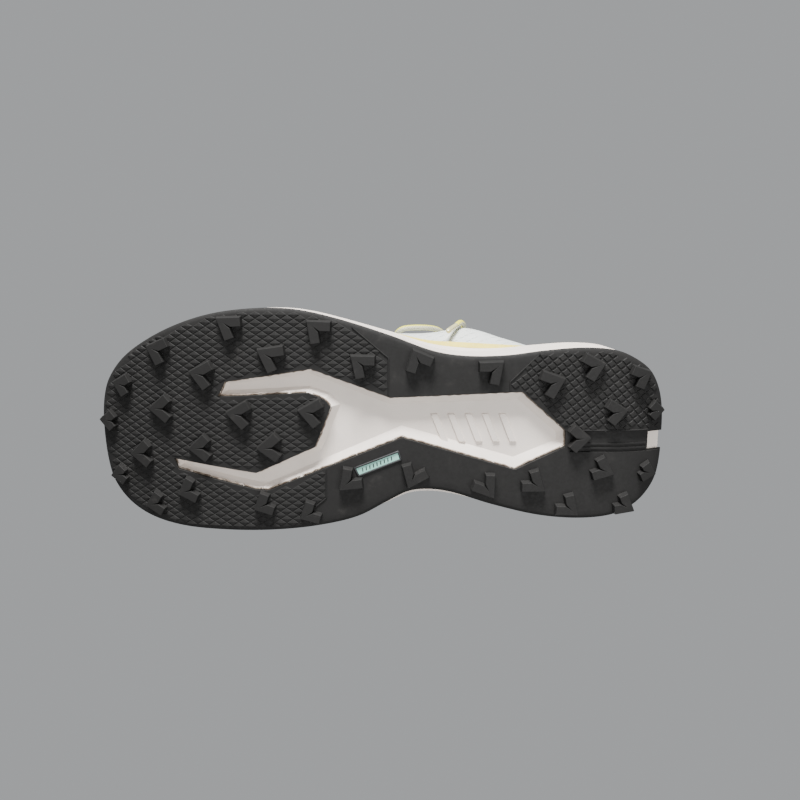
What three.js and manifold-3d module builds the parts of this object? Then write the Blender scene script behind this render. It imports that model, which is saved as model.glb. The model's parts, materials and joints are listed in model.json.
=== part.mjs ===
// Running shoe for the left foot, low cut, with a lugged trail outsole. Millimetres, +Z up.
// In the shoe group x runs from the back of the heel to the toe, y towards the lateral side,
// and z is 0 under the lug tips. Places on the sole are given on a pattern of fixed size and
// graded to the sole's length and width, as a last is.
import * as THREE from 'three';
import Module from 'manifold-3d';

const wasm = await Module();
wasm.setup();

// overall sizes
const soleLength = 301;
const soleWidth = 119.5;
const upperHeight = 65; // back of the collar above the footbed

// sole unit
const lugHeight = 4;
const rubberThickness = 2.5;
const toeSpring = 18;
const heelBevel = 7;
const lugArmLength = 12.4;
const lugArmWidth = 5;
const lugDraft = 0.7;
const lugSlit = 2.4;
const lugRoot = 2;
const pocketDepth = 3.4;
const pocketDraft = 0.76; // inward lean of the pocket's walls for each millimetre of depth
const channelDepth = 1.3;
const badgeThickness = 1.1;
const cupInset = 4.6; // inner wall of the midsole cup at the footbed
const rimWidth = 1.2;

// fits
const bondGap = 0.3;
const upperFit = 0.8;
const sewnGap = 0.6;
const hingeGap = 0.6;

// upper
const shellThickness = 1.6;
const overlayThickness = 0.9;
const liningThickness = 0.9;
const counterThickness = 1.3;
const collarPad = 4.4;
const tongueThickness = 4.5;
const tongueTuck = 12;
const eyestayWidth = 14;
const strobelThickness = 1.4;
const insoleThickness = 4.5;
const coverThickness = 0.7;

// lacing
const loopCount = 6;
const laceDiameter = 3.2;
const loopFit = 1.4; // room around the lace in a webbing loop
const loopBore = laceDiameter / 2 + loopFit;
const webbing = 0.9;
const loopWidth = 6;
const agletDiameter = 3;
const agletLength = 18;

// mesh density
const sideSteps = 34;
const ringSteps = 2 * sideSteps;
const finiteStep = 0.002;

const patternLength = 301;
const patternWidth = 119.5;
const patternHeight = 65;
const gradeX = (x) => x * soleLength / patternLength;
const gradeY = (y) => y * soleWidth / patternWidth;
const gradeZ = (z) => z * upperHeight / patternHeight;
const grade = ([x, y]) => [gradeX(x), gradeY(y)];

// A smooth curve through rows of [key, value, ...]. A closed curve repeats when the key grows by 1.
function smoothRows(rows, closed = false) {
  const count = rows.length;
  const row = (i) => {
    if (!closed) return rows[Math.min(Math.max(i, 0), count - 1)];
    const turns = Math.floor(i / count);
    const [key, ...values] = rows[i - turns * count];
    return [key + turns, ...values];
  };
  const slope = (i, d) => (row(i + 1)[d] - row(i - 1)[d]) / (row(i + 1)[0] - row(i - 1)[0]);
  return (key) => {
    const k = closed ? key - Math.floor(key) : Math.min(Math.max(key, rows[0][0]), rows[count - 1][0]);
    let i = closed ? -1 : 0;
    while (row(i + 1)[0] <= k && (closed || i < count - 2)) i += 1;
    const span = row(i + 1)[0] - row(i)[0];
    const t = (k - row(i)[0]) / span;
    return rows[0].slice(1).map((_, d) => {
      const a = row(i)[d + 1];
      const b = row(i + 1)[d + 1];
      const ma = slope(i, d + 1) * span;
      const mb = slope(i + 1, d + 1) * span;
      return a + t * (ma + t * (3 * (b - a) - 2 * ma - mb + t * (2 * (a - b) + ma + mb)));
    });
  };
}

// Share of the way from the heel to the toe along either side.
const placeOf = (w) => 2 * Math.min(w - Math.floor(w), 1 - (w - Math.floor(w)));

// Turn around the outline at a place on the lateral side (1) or the medial side (-1).
const turnOf = (place, side) => (side > 0 ? place / 2 : 1 - place / 2);

const ease = (from, to, value) => THREE.MathUtils.smoothstep(value, from, to);

// ---- outline of the sole: heel, lateral side, toe, medial side ----
const lateralEdge = [[0.5, 4], [2.5, 20], [8, 32], [16, 39], [28, 44.5], [45, 46], [65, 44.5], [85, 42],
  [105, 41.7], [122, 44.2], [145, 52.5], [170, 60.5], [192, 65.5], [212, 66.2], [236, 63.2], [258, 56],
  [278, 45.2], [290, 35], [298, 22]];
const medialEdge = [[301, 2], [298.5, -25], [291, -38], [278, -47], [260, -51.8], [236, -53.2],
  [205, -52.6], [182, -50], [162, -45], [146, -36.5], [135, -31], [124, -29.8], [112, -31.6], [90, -38.5],
  [65, -44.4], [42, -46], [24, -43.3], [10, -35], [2, -22]];

function keyedOutline() {
  const points = [...lateralEdge, ...medialEdge].map(grade);
  const along = [0];
  points.forEach((p, i) => {
    const q = points[(i + 1) % points.length];
    along.push(along[i] + Math.hypot(q[0] - p[0], q[1] - p[1]));
  });
  const toe = along[lateralEdge.length];
  const whole = along[points.length];
  const key = (s) => (s <= toe ? 0.5 * s / toe : 0.5 + 0.5 * (s - toe) / (whole - toe));
  return smoothRows(points.map((p, i) => [key(along[i]), ...p]), true);
}

const outline = keyedOutline();

// Point of the outline at turn w (0 heel, 0.5 toe), moved inwards by inset.
function sole(w, inset) {
  const [x, y] = outline(w);
  const [ax, ay] = outline(w - finiteStep);
  const [bx, by] = outline(w + finiteStep);
  const length = Math.hypot(bx - ax, by - ay);
  return [x + inset * (by - ay) / length, y - inset * (bx - ax) / length];
}

// ---- heights along the sole ----
const springStart = 205;
const springLength = 95;
const bevelLength = 28;

function rocker(x) {
  const toe = Math.max(0, x - gradeX(springStart)) / gradeX(springLength);
  const heel = Math.max(0, gradeX(bevelLength) - x) / gradeX(bevelLength);
  return toeSpring * toe ** 2 + heelBevel * heel ** 2;
}

// foam under the foot at the edge of the footbed, and the wall of the cup above it
const footbedRows = smoothRows([[0, 26.5], [60, 25.5], [110, 23.5], [160, 19.9], [205, 18.1], [250, 22.1],
  [301, 31.5]]);
const rimRows = smoothRows([[0, 9], [60, 9], [110, 8.4], [150, 7], [205, 5.4], [255, 6], [301, 8.5]]);
const onPattern = (x) => x * patternLength / soleLength;
const rubberFace = (x) => lugHeight + rocker(x);
const foamFace = (x) => rubberFace(x) + rubberThickness + bondGap;
const footbed = (x) => lugHeight + rubberThickness + footbedRows(onPattern(x))[0];
const rim = (x) => footbed(x) + rimRows(onPattern(x))[0];

// The foam and the upper stand out over the waist of the rubber, further on the lateral side.
const lateralFlare = 0;
const medialFlare = 3.2;

function flare(w) {
  const turn = w - Math.floor(w);
  return lateralFlare * Math.exp(-(((turn - 0.195) / 0.055) ** 2))
    + medialFlare * Math.exp(-(((turn - 0.785) / 0.05) ** 2));
}

// ---- solids from points ----
function solidOf(points, triangles) {
  const mesh = new wasm.Mesh({
    numProp: 3,
    vertProperties: Float32Array.from(points.flat()),
    triVerts: Uint32Array.from(triangles.flat()),
  });
  return new wasm.Manifold(mesh);
}

function geometryOf(solid) {
  const mesh = solid.getMesh();
  const geometry = new THREE.BufferGeometry();
  geometry.setAttribute('position', new THREE.BufferAttribute(Float32Array.from(mesh.vertProperties), 3));
  geometry.setIndex(new THREE.BufferAttribute(Uint32Array.from(mesh.triVerts), 1));
  geometry.computeVertexNormals();
  return geometry;
}

// A body from rings that follow the outline, listed from the bottom up, closed flat across both ends.
function ringBody(rings) {
  const points = rings.flat();
  const triangles = [];
  const at = (ring, i) => ring * ringSteps + (i % ringSteps);
  for (let r = 0; r < rings.length - 1; r += 1) {
    for (let i = 0; i < ringSteps; i += 1) {
      triangles.push([at(r, i), at(r + 1, i + 1), at(r, i + 1)]);
      triangles.push([at(r, i), at(r + 1, i), at(r + 1, i + 1)]);
    }
  }
  const cap = (ring, up) => {
    const push = (a, b, c) => triangles.push(up ? [a, b, c] : [a, c, b]);
    for (let i = 0; i < sideSteps; i += 1) {
      const lateral = at(ring, i);
      const nextLateral = at(ring, i + 1);
      const medial = at(ring, ringSteps - i);
      const nextMedial = at(ring, ringSteps - i - 1);
      if (i > 0) push(lateral, medial, nextMedial);
      if (i < sideSteps - 1) push(lateral, nextMedial, nextLateral);
    }
  };
  cap(0, false);
  cap(rings.length - 1, true);
  return solidOf(points, triangles);
}

const valueAt = (value, ...keys) => (typeof value === 'function' ? value(...keys) : value);

function ring(inset, height) {
  return Array.from({ length: ringSteps }, (_, i) => {
    const w = i / ringSteps;
    const [x, y] = sole(w, valueAt(inset, w));
    return [x, y, height(x)];
  });
}

// A shell between two grids of points with the same rows and columns.
function gridBody(front, back) {
  const rows = front.length;
  const columns = front[0].length;
  const points = [...front.flat(), ...back.flat()];
  const at = (side, r, c) => side * rows * columns + r * columns + c;
  const triangles = [];
  const quad = (a, b, c, d) => triangles.push([a, b, c], [a, c, d]);
  for (let r = 0; r < rows - 1; r += 1) {
    for (let c = 0; c < columns - 1; c += 1) {
      quad(at(0, r, c), at(0, r, c + 1), at(0, r + 1, c + 1), at(0, r + 1, c));
      quad(at(1, r, c), at(1, r + 1, c), at(1, r + 1, c + 1), at(1, r, c + 1));
    }
    quad(at(0, r, 0), at(0, r + 1, 0), at(1, r + 1, 0), at(1, r, 0));
    quad(at(0, r, columns - 1), at(1, r, columns - 1), at(1, r + 1, columns - 1), at(0, r + 1, columns - 1));
  }
  for (let c = 0; c < columns - 1; c += 1) {
    quad(at(0, 0, c), at(1, 0, c), at(1, 0, c + 1), at(0, 0, c + 1));
    quad(at(0, rows - 1, c), at(0, rows - 1, c + 1), at(1, rows - 1, c + 1), at(1, rows - 1, c));
  }
  return solidOf(points, triangles);
}

// A prism over an outline on the sole; its bottom and top follow heights along x.
function prism(low, high, bottom, top) {
  const shape = low.map(([x, y]) => new THREE.Vector2(x, y));
  const faces = THREE.ShapeUtils.triangulateShape(shape, []);
  const count = low.length;
  const points = [...low.map(([x, y]) => [x, y, bottom(x)]), ...high.map(([x, y]) => [x, y, top(x)])];
  const triangles = [];
  faces.forEach(([a, b, c]) => triangles.push([a, c, b], [a + count, b + count, c + count]));
  for (let i = 0; i < count; i += 1) {
    const j = (i + 1) % count;
    triangles.push([i, j, j + count], [i, j + count, i + count]);
  }
  return solidOf(points, triangles);
}

// Outlines run anticlockwise seen from above; offsetOutline grows one outwards by a distance.
function offsetOutline(points, distance) {
  const count = points.length;
  return points.map((p, i) => {
    const before = points[(i + count - 1) % count];
    const after = points[(i + 1) % count];
    const d1 = new THREE.Vector2(p[0] - before[0], p[1] - before[1]).normalize();
    const d2 = new THREE.Vector2(after[0] - p[0], after[1] - p[1]).normalize();
    const miter = new THREE.Vector2(d1.y + d2.y, -d1.x - d2.x).normalize();
    const reach = distance / Math.max(0.4, miter.x * d1.y - miter.y * d1.x);
    return [p[0] + miter.x * reach, p[1] + miter.y * reach];
  });
}

// The same outline with each edge divided into a number of pieces. The new points stand a hair
// outside the straight edge, so that each of them stays a corner of the faces.
const hair = 0.01;

function divide(points, pieces) {
  return points.flatMap((p, i) => {
    const q = points[(i + 1) % points.length];
    const [dx, dy] = [q[0] - p[0], q[1] - p[1]];
    const length = Math.hypot(dx, dy);
    return Array.from({ length: pieces[i] }, (_, k) => {
      const t = k / pieces[i];
      const bulge = 4 * hair * t * (1 - t) / length;
      return [p[0] + dx * t + dy * bulge, p[1] + dy * t - dx * bulge];
    });
  });
}

function edgePieces(points, step) {
  return points.map((p, i) => {
    const q = points[(i + 1) % points.length];
    return Math.ceil(Math.hypot(q[0] - p[0], q[1] - p[1]) / step);
  });
}

// An upright column over an outline, and a slab across the sole whose faces follow heights along x.
// What they share is cut from the sole or joined to it.
const farBelow = -30;
const farAbove = 60;
const slabStep = 4;

const column = (outline) => prism(outline, outline, () => farBelow, () => farAbove);

function slab(bottom, top) {
  const count = Math.ceil(soleLength / slabStep) + 8;
  const xs = Array.from({ length: count + 1 }, (_, i) => slabStep * (i - 4));
  const face = (height) => [-soleWidth, soleWidth].map((y) => xs.map((x) => [x, y, height(x)]));
  return gridBody(face(top), face(bottom));
}

const layer = (outline, bottom, top) => column(outline).intersect(slab(bottom, top));

// ---- outsole ----
// Y-shaped window through the rubber: two prongs under the forefoot, one end at the heel.
const windowOutline = [[234.4, 20], [230.3, 28], [185.6, 35], [144.6, 20], [136.8, 20.3], [76, 23],
  [52.8, 2.2], [52.8, -6.4], [78.8, -19], [138.4, -1.6], [209.4, -30.6], [215.8, -30.2], [258, -20.2],
  [260, -14.2], [215.4, -20.7], [184, -6.4], [175.6, 14.6], [178.6, 18.6], [187, 22.2]].map(grade);

// Chevron lugs: apex x, apex y, heading of the apex in degrees, angle between the arms, arm length share.
const lugs = [
  [301.5, 5, 4, 88, 0.68], [292, 26, 14, 88, 0.74], [297, -26, -8, 85, 0.68],
  [271, 46, 20, 88, 0.9], [284, -12.5, -3, 83, 0.92], [271.7, 13, -1, 81, 0.95], [277, -41, -13, 87, 0.8],
  [248.2, 33.5, 13, 82, 0.97], [250.6, -7.6, -3, 82, 0.92], [258, -33, -19, 87, 0.85],
  [232.5, 61.5, 34, 73, 1], [229.7, 12.5, 9, 78, 1], [212.2, 45.4, 29, 75, 1.08], [214.2, -6.5, -2, 78, 1],
  [216.5, -40, -26, 88, 0.8], [192.3, 13.8, 11, 80, 1], [186.6, 60.1, 42, 79, 0.97],
  [192.3, -45, -28, 88, 0.82], [164.7, 42.4, 40, 77, 1], [171.4, -29.3, -43, 73, 1],
  [132.8, 45.5, 65, 85, 0.93], [135.2, -28.2, -67, 76, 1],
  [86.6, 39.3, 139, 78, 1], [89.9, -33.7, -124, 71, 1.03], [54.8, 30.5, 159, 81, 0.98],
  [63.2, -29.8, -144, 73, 0.98], [34.8, 38.3, 164, 88, 0.88], [40.5, -1, 177, 88, 0.88],
  [45.2, -43, -141, 75, 0.95], [22.1, 13.8, 170, 84, 0.84], [27.5, -20.5, -158, 79, 0.88],
  [10.3, 33.7, 156, 88, 0.8], [1.2, 13, 178, 87, 0.62], [4, -21.6, -164, 85, 0.66],
  [15.3, -41, -150, 75, 0.85],
];

function chevron(arm, opening) {
  const half = THREE.MathUtils.degToRad(opening / 2);
  const c = Math.cos(half);
  const s = Math.sin(half);
  const inner = lugArmWidth / s;
  const side = (up) => [
    [-arm * c, up * arm * s],
    [-arm * c - lugArmWidth * s, up * (arm * s - lugArmWidth * c)],
    [-inner - 0.5, up * 0.35],
  ];
  return [[0, 0], ...side(1), [lugSlit - inner, 0], ...side(-1).reverse()];
}

function lug([x, y, heading, opening, share]) {
  const [cx, cy] = grade([x, y]);
  const turn = THREE.MathUtils.degToRad(heading);
  const tip = chevron(share * lugArmLength, opening).map(([u, v]) => [
    cx + u * Math.cos(turn) - v * Math.sin(turn),
    cy + u * Math.sin(turn) + v * Math.cos(turn),
  ]);
  return prism(tip, offsetOutline(tip, lugDraft), rocker, (px) => rubberFace(px) + lugRoot);
}

const channelOutline = [[-8, -9.4], [50.5, -9.2], [50.5, 2.2], [-8, 1.4]].map(grade);
const notchOutline = [[-8, -8.8], [8.6, -8.8], [8.6, 0.9], [-8, 0.9]].map(grade);
const channelRibs = [-7.2, -4.9];
const channelRibWidth = 0.9;
const channelRibHeight = 0.7;
const ribStart = 9.6;
const ribEnd = 50;
const badgeOutline = [[161.2, -22.2], [163.4, -17.9], [140.4, -8.8], [139, -13.2]].map(grade);
const badgeProud = 0.2;
const badgeBevel = 0.3;
const below = (x) => rubberFace(x) - 2 * lugHeight;

// inset and rise of the rounded edge of the rubber
const rubberEdge = [[5, 0], [0.8, 0.4], [0, 1.3], [0.3, rubberThickness]];

function outsole() {
  const sheet = ringBody(rubberEdge.map(([inset, rise]) => ring(inset, (x) => rubberFace(x) + rise)));
  const channelFloor = (x) => rubberFace(x) + channelDepth;
  let body = sheet.subtract(layer(channelOutline, below, channelFloor));
  channelRibs.forEach((y) => {
    const [near, far] = [gradeX(ribStart), gradeX(ribEnd)];
    const [low, high] = [gradeY(y) - channelRibWidth / 2, gradeY(y) + channelRibWidth / 2];
    const rib = [[near, low], [far, low], [far, high], [near, high]];
    body = body.add(layer(rib, (x) => channelFloor(x) - channelRibHeight, (x) => channelFloor(x) + bondGap));
  });
  lugs.forEach((row) => {
    body = body.add(lug(row));
  });
  const seatFloor = (x) => rubberFace(x) + badgeThickness - badgeProud + bondGap;
  const badgeSeat = layer(offsetOutline(badgeOutline, bondGap), below, seatFloor);
  const cut = body.subtract(column(windowOutline)).subtract(column(notchOutline)).subtract(badgeSeat);
  // where an arm of a lug reaches over the window, the end beyond it is left off
  return cut.decompose().reduce((largest, piece) => (piece.volume() > largest.volume() ? piece : largest));
}

function soleBadge() {
  const face = offsetOutline(badgeOutline, -badgeBevel);
  return prism(face, badgeOutline, (x) => rubberFace(x) - badgeProud,
    (x) => rubberFace(x) + badgeThickness - badgeProud);
}

// ---- midsole ----
const pocketStep = 12;
const pocketExtra = 1.2; // the cutter stands this far past the pocket
const reliefHeight = 0.8;
const reliefCount = 5;
const reliefPitch = 9;
const reliefWidth = 3.2;
const reliefLean = 6;
const reliefStart = 78;
const reliefLow = -5;
const reliefHigh = 10;

// Slanted bars that stand up from the floor of the window.
function reliefBars() {
  return Array.from({ length: reliefCount }, (_, i) => {
    const x = gradeX(reliefStart) + reliefPitch * i;
    const [low, high] = [gradeY(reliefLow), gradeY(reliefHigh)];
    return [[x, low], [x + reliefWidth, low], [x + reliefWidth + reliefLean, high], [x + reliefLean, high]];
  });
}

// inset of the outer wall, share of the waist's flare, and share of the height up to the rim
const wallProfile = [[1.4, 0.9, 0], [0.8, 0.9, 0.12], [1, 0.9, 0.4], [1.8, 1, 0.75]];

function midsole() {
  const wall = (share) => (x) => foamFace(x) + share * (rim(x) - foamFace(x));
  const body = ringBody([
    ...wallProfile.map(([inset, flared, share]) => ring((w) => inset - flared * flare(w), wall(share))),
    ring((w) => rimInner(w) - rimWidth, rim),
    ring(rimInner, rim),
    ring((w) => cupInset - flare(w), footbed),
  ]);
  const pocketFloor = (x) => foamFace(x) + pocketDepth;
  const pieces = edgePieces(windowOutline, pocketStep);
  const outlineAt = (depth) => divide(offsetOutline(windowOutline, -pocketDraft * depth), pieces);
  const drafted = prism(outlineAt(-pocketExtra), outlineAt(pocketDepth + pocketExtra),
    (x) => foamFace(x) - pocketExtra, (x) => pocketFloor(x) + pocketExtra);
  let pocket = drafted.intersect(slab((x) => foamFace(x) - pocketExtra, pocketFloor));
  reliefBars().forEach((bar) => {
    const root = offsetOutline(bar, reliefHeight / 2);
    const reliefFace = (x) => pocketFloor(x) - reliefHeight;
    pocket = pocket.subtract(prism(bar, root, reliefFace, (x) => pocketFloor(x) + reliefHeight));
  });
  return body.subtract(pocket);
}

// ---- insole board and insole ----
const boardEdge = 12;
const toeClearance = 3; // extra room at the toe, where the upper leans in
const boardFlare = 0.6; // share of the waist's flare that the board follows
const inBoard = (extra) => (w) => boardEdge + extra - boardFlare * flare(w)
  + toeClearance * ease(0.72, 0.9, placeOf(w));

function strobelBoard() {
  const low = (x) => footbed(x) + bondGap;
  const high = (x) => low(x) + strobelThickness;
  return ringBody([ring(inBoard(0), low), ring(inBoard(0), high)]);
}

const insoleBase = (x) => footbed(x) + bondGap + strobelThickness + bondGap;
const insoleRise = smoothRows([[0, 5.5], [60, 5], [110, 4], [160, 1.5], [205, 0.4], [301, 0.2]]);

function insole() {
  const floor = (x) => insoleBase(x) + insoleThickness;
  const edge = (x) => floor(x) + insoleRise(onPattern(x))[0];
  return ringBody([
    ring(inBoard(0.6), insoleBase),
    ring(inBoard(0), (x) => insoleBase(x) + 1.5),
    ring(inBoard(0), (x) => edge(x) - 0.6),
    ring(inBoard(1.4), edge),
    ring(inBoard(12), floor),
  ]);
}

function insoleCover() {
  const low = (x) => insoleBase(x) + insoleThickness + bondGap;
  const edge = (x) => low(x) + insoleRise(onPattern(x))[0] + 0.2;
  const flat = (x) => low(x) + coverThickness;
  return ringBody([
    ring(inBoard(12), low),
    ring(inBoard(1), (x) => edge(x) + 0.1),
    ring(inBoard(1), (x) => edge(x) + coverThickness),
    ring(inBoard(12), flat),
  ]);
}

// ---- surface of the upper ----
// Rows along one side from the heel to the toe: place, x, half width, height of the top edge above
// the heel footbed, the reach of the surface at the top edge (x, y, z), and its lean at the bottom
// edge (out, up).
const topEdge = [
  [0, 9.5, 0, 65, -8, 0, -22, 0.4, 20],
  [0.07, 13, 15.5, 62.5, -5, 6, -20, 0.4, 19],
  [0.15, 26, 26.5, 54, 0, 6, -15, 0.5, 16],
  [0.24, 50, 30.5, 43.5, 0, 5, -12, 1, 13],
  [0.31, 74, 29.5, 45.5, 0, 22, -12, 3, 15],
  [0.38, 96, 25, 54.5, 0, 40, -14, 4.5, 19],
  [0.44, 112, 20, 58.5, 0, 34, -14, 3, 21],
  [0.52, 136, 17, 52, 0, 20, -10, 1, 19],
  [0.6, 162, 15, 43.5, 0, 16, -6, 0.5, 18],
  [0.68, 186, 13, 35.5, 2, 23, -3, 0.8, 17],
  [0.74, 201, 11.5, 30.5, 8, 21, -1, 0.5, 17],
  [0.8, 209, 8.6, 28, 20, 17, -0.5, 0.4, 17],
  [0.9, 213.5, 4, 26.6, 34, 7, 0, 0.4, 18],
  [1, 214.5, 0, 26.4, 38, 0, 0, 0.4, 18],
];
const medialFullness = 0.48; // reach of the medial side at the waist, as a share of the lateral one
const throatAxis = smoothRows([[0, 0], [60, 0], [120, 1.5], [200, 4], [301, 5]]);

function topRow([place, x, half, z, rx, ry, rz, out, up], side) {
  const px = gradeX(x);
  const py = gradeY(throatAxis(x)[0] + side * half);
  const pz = footbed(0) + gradeZ(z);
  const waist = Math.exp(-(((place - 0.42) / 0.13) ** 2));
  const full = side > 0 ? 1 : 1 - (1 - medialFullness) * waist;
  const reach = [gradeX(rx), gradeY(side * ry * full), gradeZ(rz)];
  return [turnOf(place, side), px, py, pz, ...reach, out * full, gradeZ(up)];
}

const medialRows = topEdge.slice(1, -1).map((row) => topRow(row, -1)).reverse();
const topLine = smoothRows([...topEdge.map((row) => topRow(row, 1)), ...medialRows], true);
const lastingInset = cupInset + upperFit;

// Point of the upper at turn w and share v from the bottom edge (0) to the top edge (1).
function upperAt(w, v) {
  const [x, y] = sole(w, lastingInset - flare(w));
  const z = footbed(x) + bondGap;
  const [tx, ty, tz, rx, ry, rz, out, up] = topLine(w);
  const [ox, oy] = sole(w, lastingInset - flare(w) - out);
  const a = (1 - v) ** 3;
  const b = 3 * v * (1 - v) ** 2;
  const c = 3 * v * v * (1 - v);
  const d = v ** 3;
  return [
    a * x + b * ox + c * (tx + rx) + d * tx,
    a * y + b * oy + c * (ty + ry) + d * ty,
    a * z + b * (z + up) + c * (tz + rz) + d * tz,
  ];
}

// Inner wall of the midsole cup at the rim; it leans out as the upper does.
const rimDraft = 0.7;
const rimLean = 0.48; // share of the upper's lean

function rimInner(w) {
  const lean = topLine(w)[6];
  return cupInset - rimDraft - rimLean * lean - flare(w);
}

const vector = (p) => new THREE.Vector3(...p);

function upperFrame(w, v) {
  const low = Math.max(0, v - 0.004);
  const high = Math.min(1, v + 0.004);
  const along = vector(upperAt(w + finiteStep, v)).sub(vector(upperAt(w - finiteStep, v))).normalize();
  const up = vector(upperAt(w, high)).sub(vector(upperAt(w, low))).normalize();
  const out = new THREE.Vector3().crossVectors(up, along).normalize();
  return { along, up, out };
}

function upperPoint(w, v, offset) {
  return vector(upperAt(w, v)).addScaledVector(upperFrame(w, v).out, offset).toArray();
}

// Share v at which the upper reaches a height, and share v at a distance below the top edge.
function shareAtHeight(w, z) {
  let [low, high] = [0, 1];
  for (let i = 0; i < 24; i += 1) {
    const middle = (low + high) / 2;
    if (upperAt(w, middle)[2] < z) low = middle;
    else high = middle;
  }
  return low;
}

function shareBelowTop(w, distance) {
  const steps = 40;
  let length = 0;
  for (let i = steps; i > 0; i -= 1) {
    length += vector(upperAt(w, i / steps)).distanceTo(vector(upperAt(w, (i - 1) / steps)));
    if (length >= distance) return (i - 1) / steps + (length - distance) / length / steps;
  }
  return 0;
}

// A piece of the upper between turns w and shares v, from the outer offset to the inner one.
function patch({ from, to, low, high, outer, inner, columns, rows }) {
  const steps = (count) => Array.from({ length: count + 1 }, (_, i) => i / count);
  const place = (along, up, offset) => {
    const w = THREE.MathUtils.lerp(from, to, along);
    const v = THREE.MathUtils.lerp(valueAt(low, w), valueAt(high, w), up);
    return upperPoint(w, v, valueAt(offset, w, v));
  };
  const grid = (offset) => steps(rows).map((up) => steps(columns).map((along) => place(along, up, offset)));
  const flip = (points) => points.map((line) => [...line].reverse());
  return gridBody(flip(grid(outer)), flip(grid(inner)));
}

const aboveRim = (w, height) => {
  const [x] = sole(w, lastingInset);
  return shareAtHeight(w, rim(x) + height);
};

// ---- outer shell ----
const vampPlace = 0.745;
const seamTurn = 0.002;

function vamp() {
  const half = 0.5 - vampPlace / 2;
  return patch({ from: 0.5 - half + seamTurn / 2, to: 0.5 + half - seamTurn / 2, low: 0, high: 1, outer: 0,
    inner: -shellThickness, columns: 26, rows: 9 });
}

function quarter(side) {
  const ends = [turnOf(seamTurn * 2, side), turnOf(vampPlace - seamTurn, side)].sort((a, b) => a - b);
  return patch({ from: ends[0], to: ends[1], low: 0, high: 1, outer: 0, inner: -shellThickness,
    columns: 24, rows: 7 });
}

// ---- overlays ----
const randPlace = 0.8;
const randHeight = 5;
const bumperHeight = 12;
const bumperThickness = 1.44;
const rimGap = 1.3; // overlays start this far above the rim of the midsole
const bumperGap = 1;

function rand() {
  return patch({ from: -randPlace / 2, to: randPlace / 2, low: (w) => aboveRim(w, rimGap),
    high: (w) => aboveRim(w, rimGap + randHeight), outer: sewnGap + overlayThickness, inner: sewnGap,
    columns: 60, rows: 1 });
}

function toeBumper() {
  const half = (1 - randPlace) / 2 - seamTurn;
  const swell = (w) => Math.max(0, Math.cos(Math.PI * (w - 0.5) / half / 2)) ** 0.7;
  const height = (w) => randHeight + (bumperHeight - randHeight) * swell(w);
  return patch({ from: 0.5 - half, to: 0.5 + half, low: (w) => aboveRim(w, rimGap),
    high: (w) => aboveRim(w, rimGap + height(w)),
    outer: bumperGap + bumperThickness, inner: bumperGap, columns: 20, rows: 4 });
}

const tapeTurn = 0.017; // half of the tape's width around the heel
const tapeTop = 0.965;

function heelTape() {
  return patch({ from: -tapeTurn, to: tapeTurn, low: (w) => aboveRim(w, 2 * rimGap + randHeight),
    high: tapeTop, outer: sewnGap + overlayThickness, inner: sewnGap, columns: 4, rows: 7 });
}

const eyestayStart = 0.395;
const eyestayEnd = 0.735;
const eyestayTop = 0.995;

function eyestay(side) {
  const ends = [turnOf(eyestayStart, side), turnOf(eyestayEnd, side)].sort((a, b) => a - b);
  return patch({ from: ends[0], to: ends[1], low: (w) => shareBelowTop(w, eyestayWidth), high: eyestayTop,
    outer: sewnGap + overlayThickness, inner: sewnGap, columns: 14, rows: 2 });
}

// ---- inside pieces ----
const counterPlace = 0.2;
const liningPlace = 0.4;
const padStart = 0.5;
const padGap = 0.9;
const puffThickness = 0.8;

function padding(w, v) {
  const up = ease(padStart, 0.74, v) * (1 - 0.65 * ease(0.88, 1, v));
  return collarPad * up * (1 - 0.7 * ease(0.3, liningPlace, placeOf(w)));
}

const liningFace = (w, v) => shellThickness + sewnGap + counterThickness + sewnGap + padding(w, v);

function heelCounter() {
  return patch({ from: -counterPlace / 2, to: counterPlace / 2, low: 0.05, high: padStart - 0.04,
    outer: -shellThickness - sewnGap, inner: -shellThickness - sewnGap - counterThickness,
    columns: 12, rows: 3 });
}

function toePuff() {
  return patch({ from: 0.405, to: 0.595, low: 0.06, high: 0.34, outer: -shellThickness - sewnGap,
    inner: -shellThickness - sewnGap - puffThickness, columns: 12, rows: 3 });
}

function collarPadding() {
  return patch({ from: -liningPlace / 2 + 0.01, to: liningPlace / 2 - 0.01, low: padStart, high: 0.96,
    outer: -shellThickness - padGap, inner: (w, v) => -(liningFace(w, v) - padGap), columns: 26, rows: 4 });
}

function collarLining() {
  return patch({ from: -liningPlace / 2, to: liningPlace / 2, low: 0.02, high: 0.99,
    outer: (w, v) => -liningFace(w, v), inner: (w, v) => -(liningFace(w, v) + liningThickness),
    columns: 24, rows: 6 });
}

// ---- tongue ----
const tongueStart = 0.41;
const tongueEnd = 0.735;
const tongueFit = 0.8;
const bridgeShare = 0.34; // how far the middle of the tongue arches
const tongueTail = [[8, 0, -3.2], [17, 0, -5.2]]; // the end sewn under the vamp

// Points across the tongue at a place along the throat, from the lateral to the medial side.
function tongueLine(place, thickness) {
  const depth = -(shellThickness + tongueFit + thickness);
  const tucked = (w) => [1, 0.5].map((share) => upperPoint(w, shareBelowTop(w, tongueTuck * share), depth));
  const [wl, wm] = [place / 2, 1 - place / 2];
  const [el, em] = [vector(upperPoint(wl, 1, depth)), vector(upperPoint(wm, 1, depth))];
  const reach = el.distanceTo(em) * bridgeShare;
  const bridge = new THREE.CubicBezierCurve3(
    el,
    el.clone().addScaledVector(upperFrame(wl, 1).up, reach),
    em.clone().addScaledVector(upperFrame(wm, 1).up, reach),
    em,
  ).getPoints(6).map((p) => p.toArray());
  return [...tucked(wl), ...bridge, ...tucked(wm).reverse()];
}

const shifted = (line, [dx, dy, dz]) => line.map(([x, y, z]) => [x + dx, y + dy, z + dz]);

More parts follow.
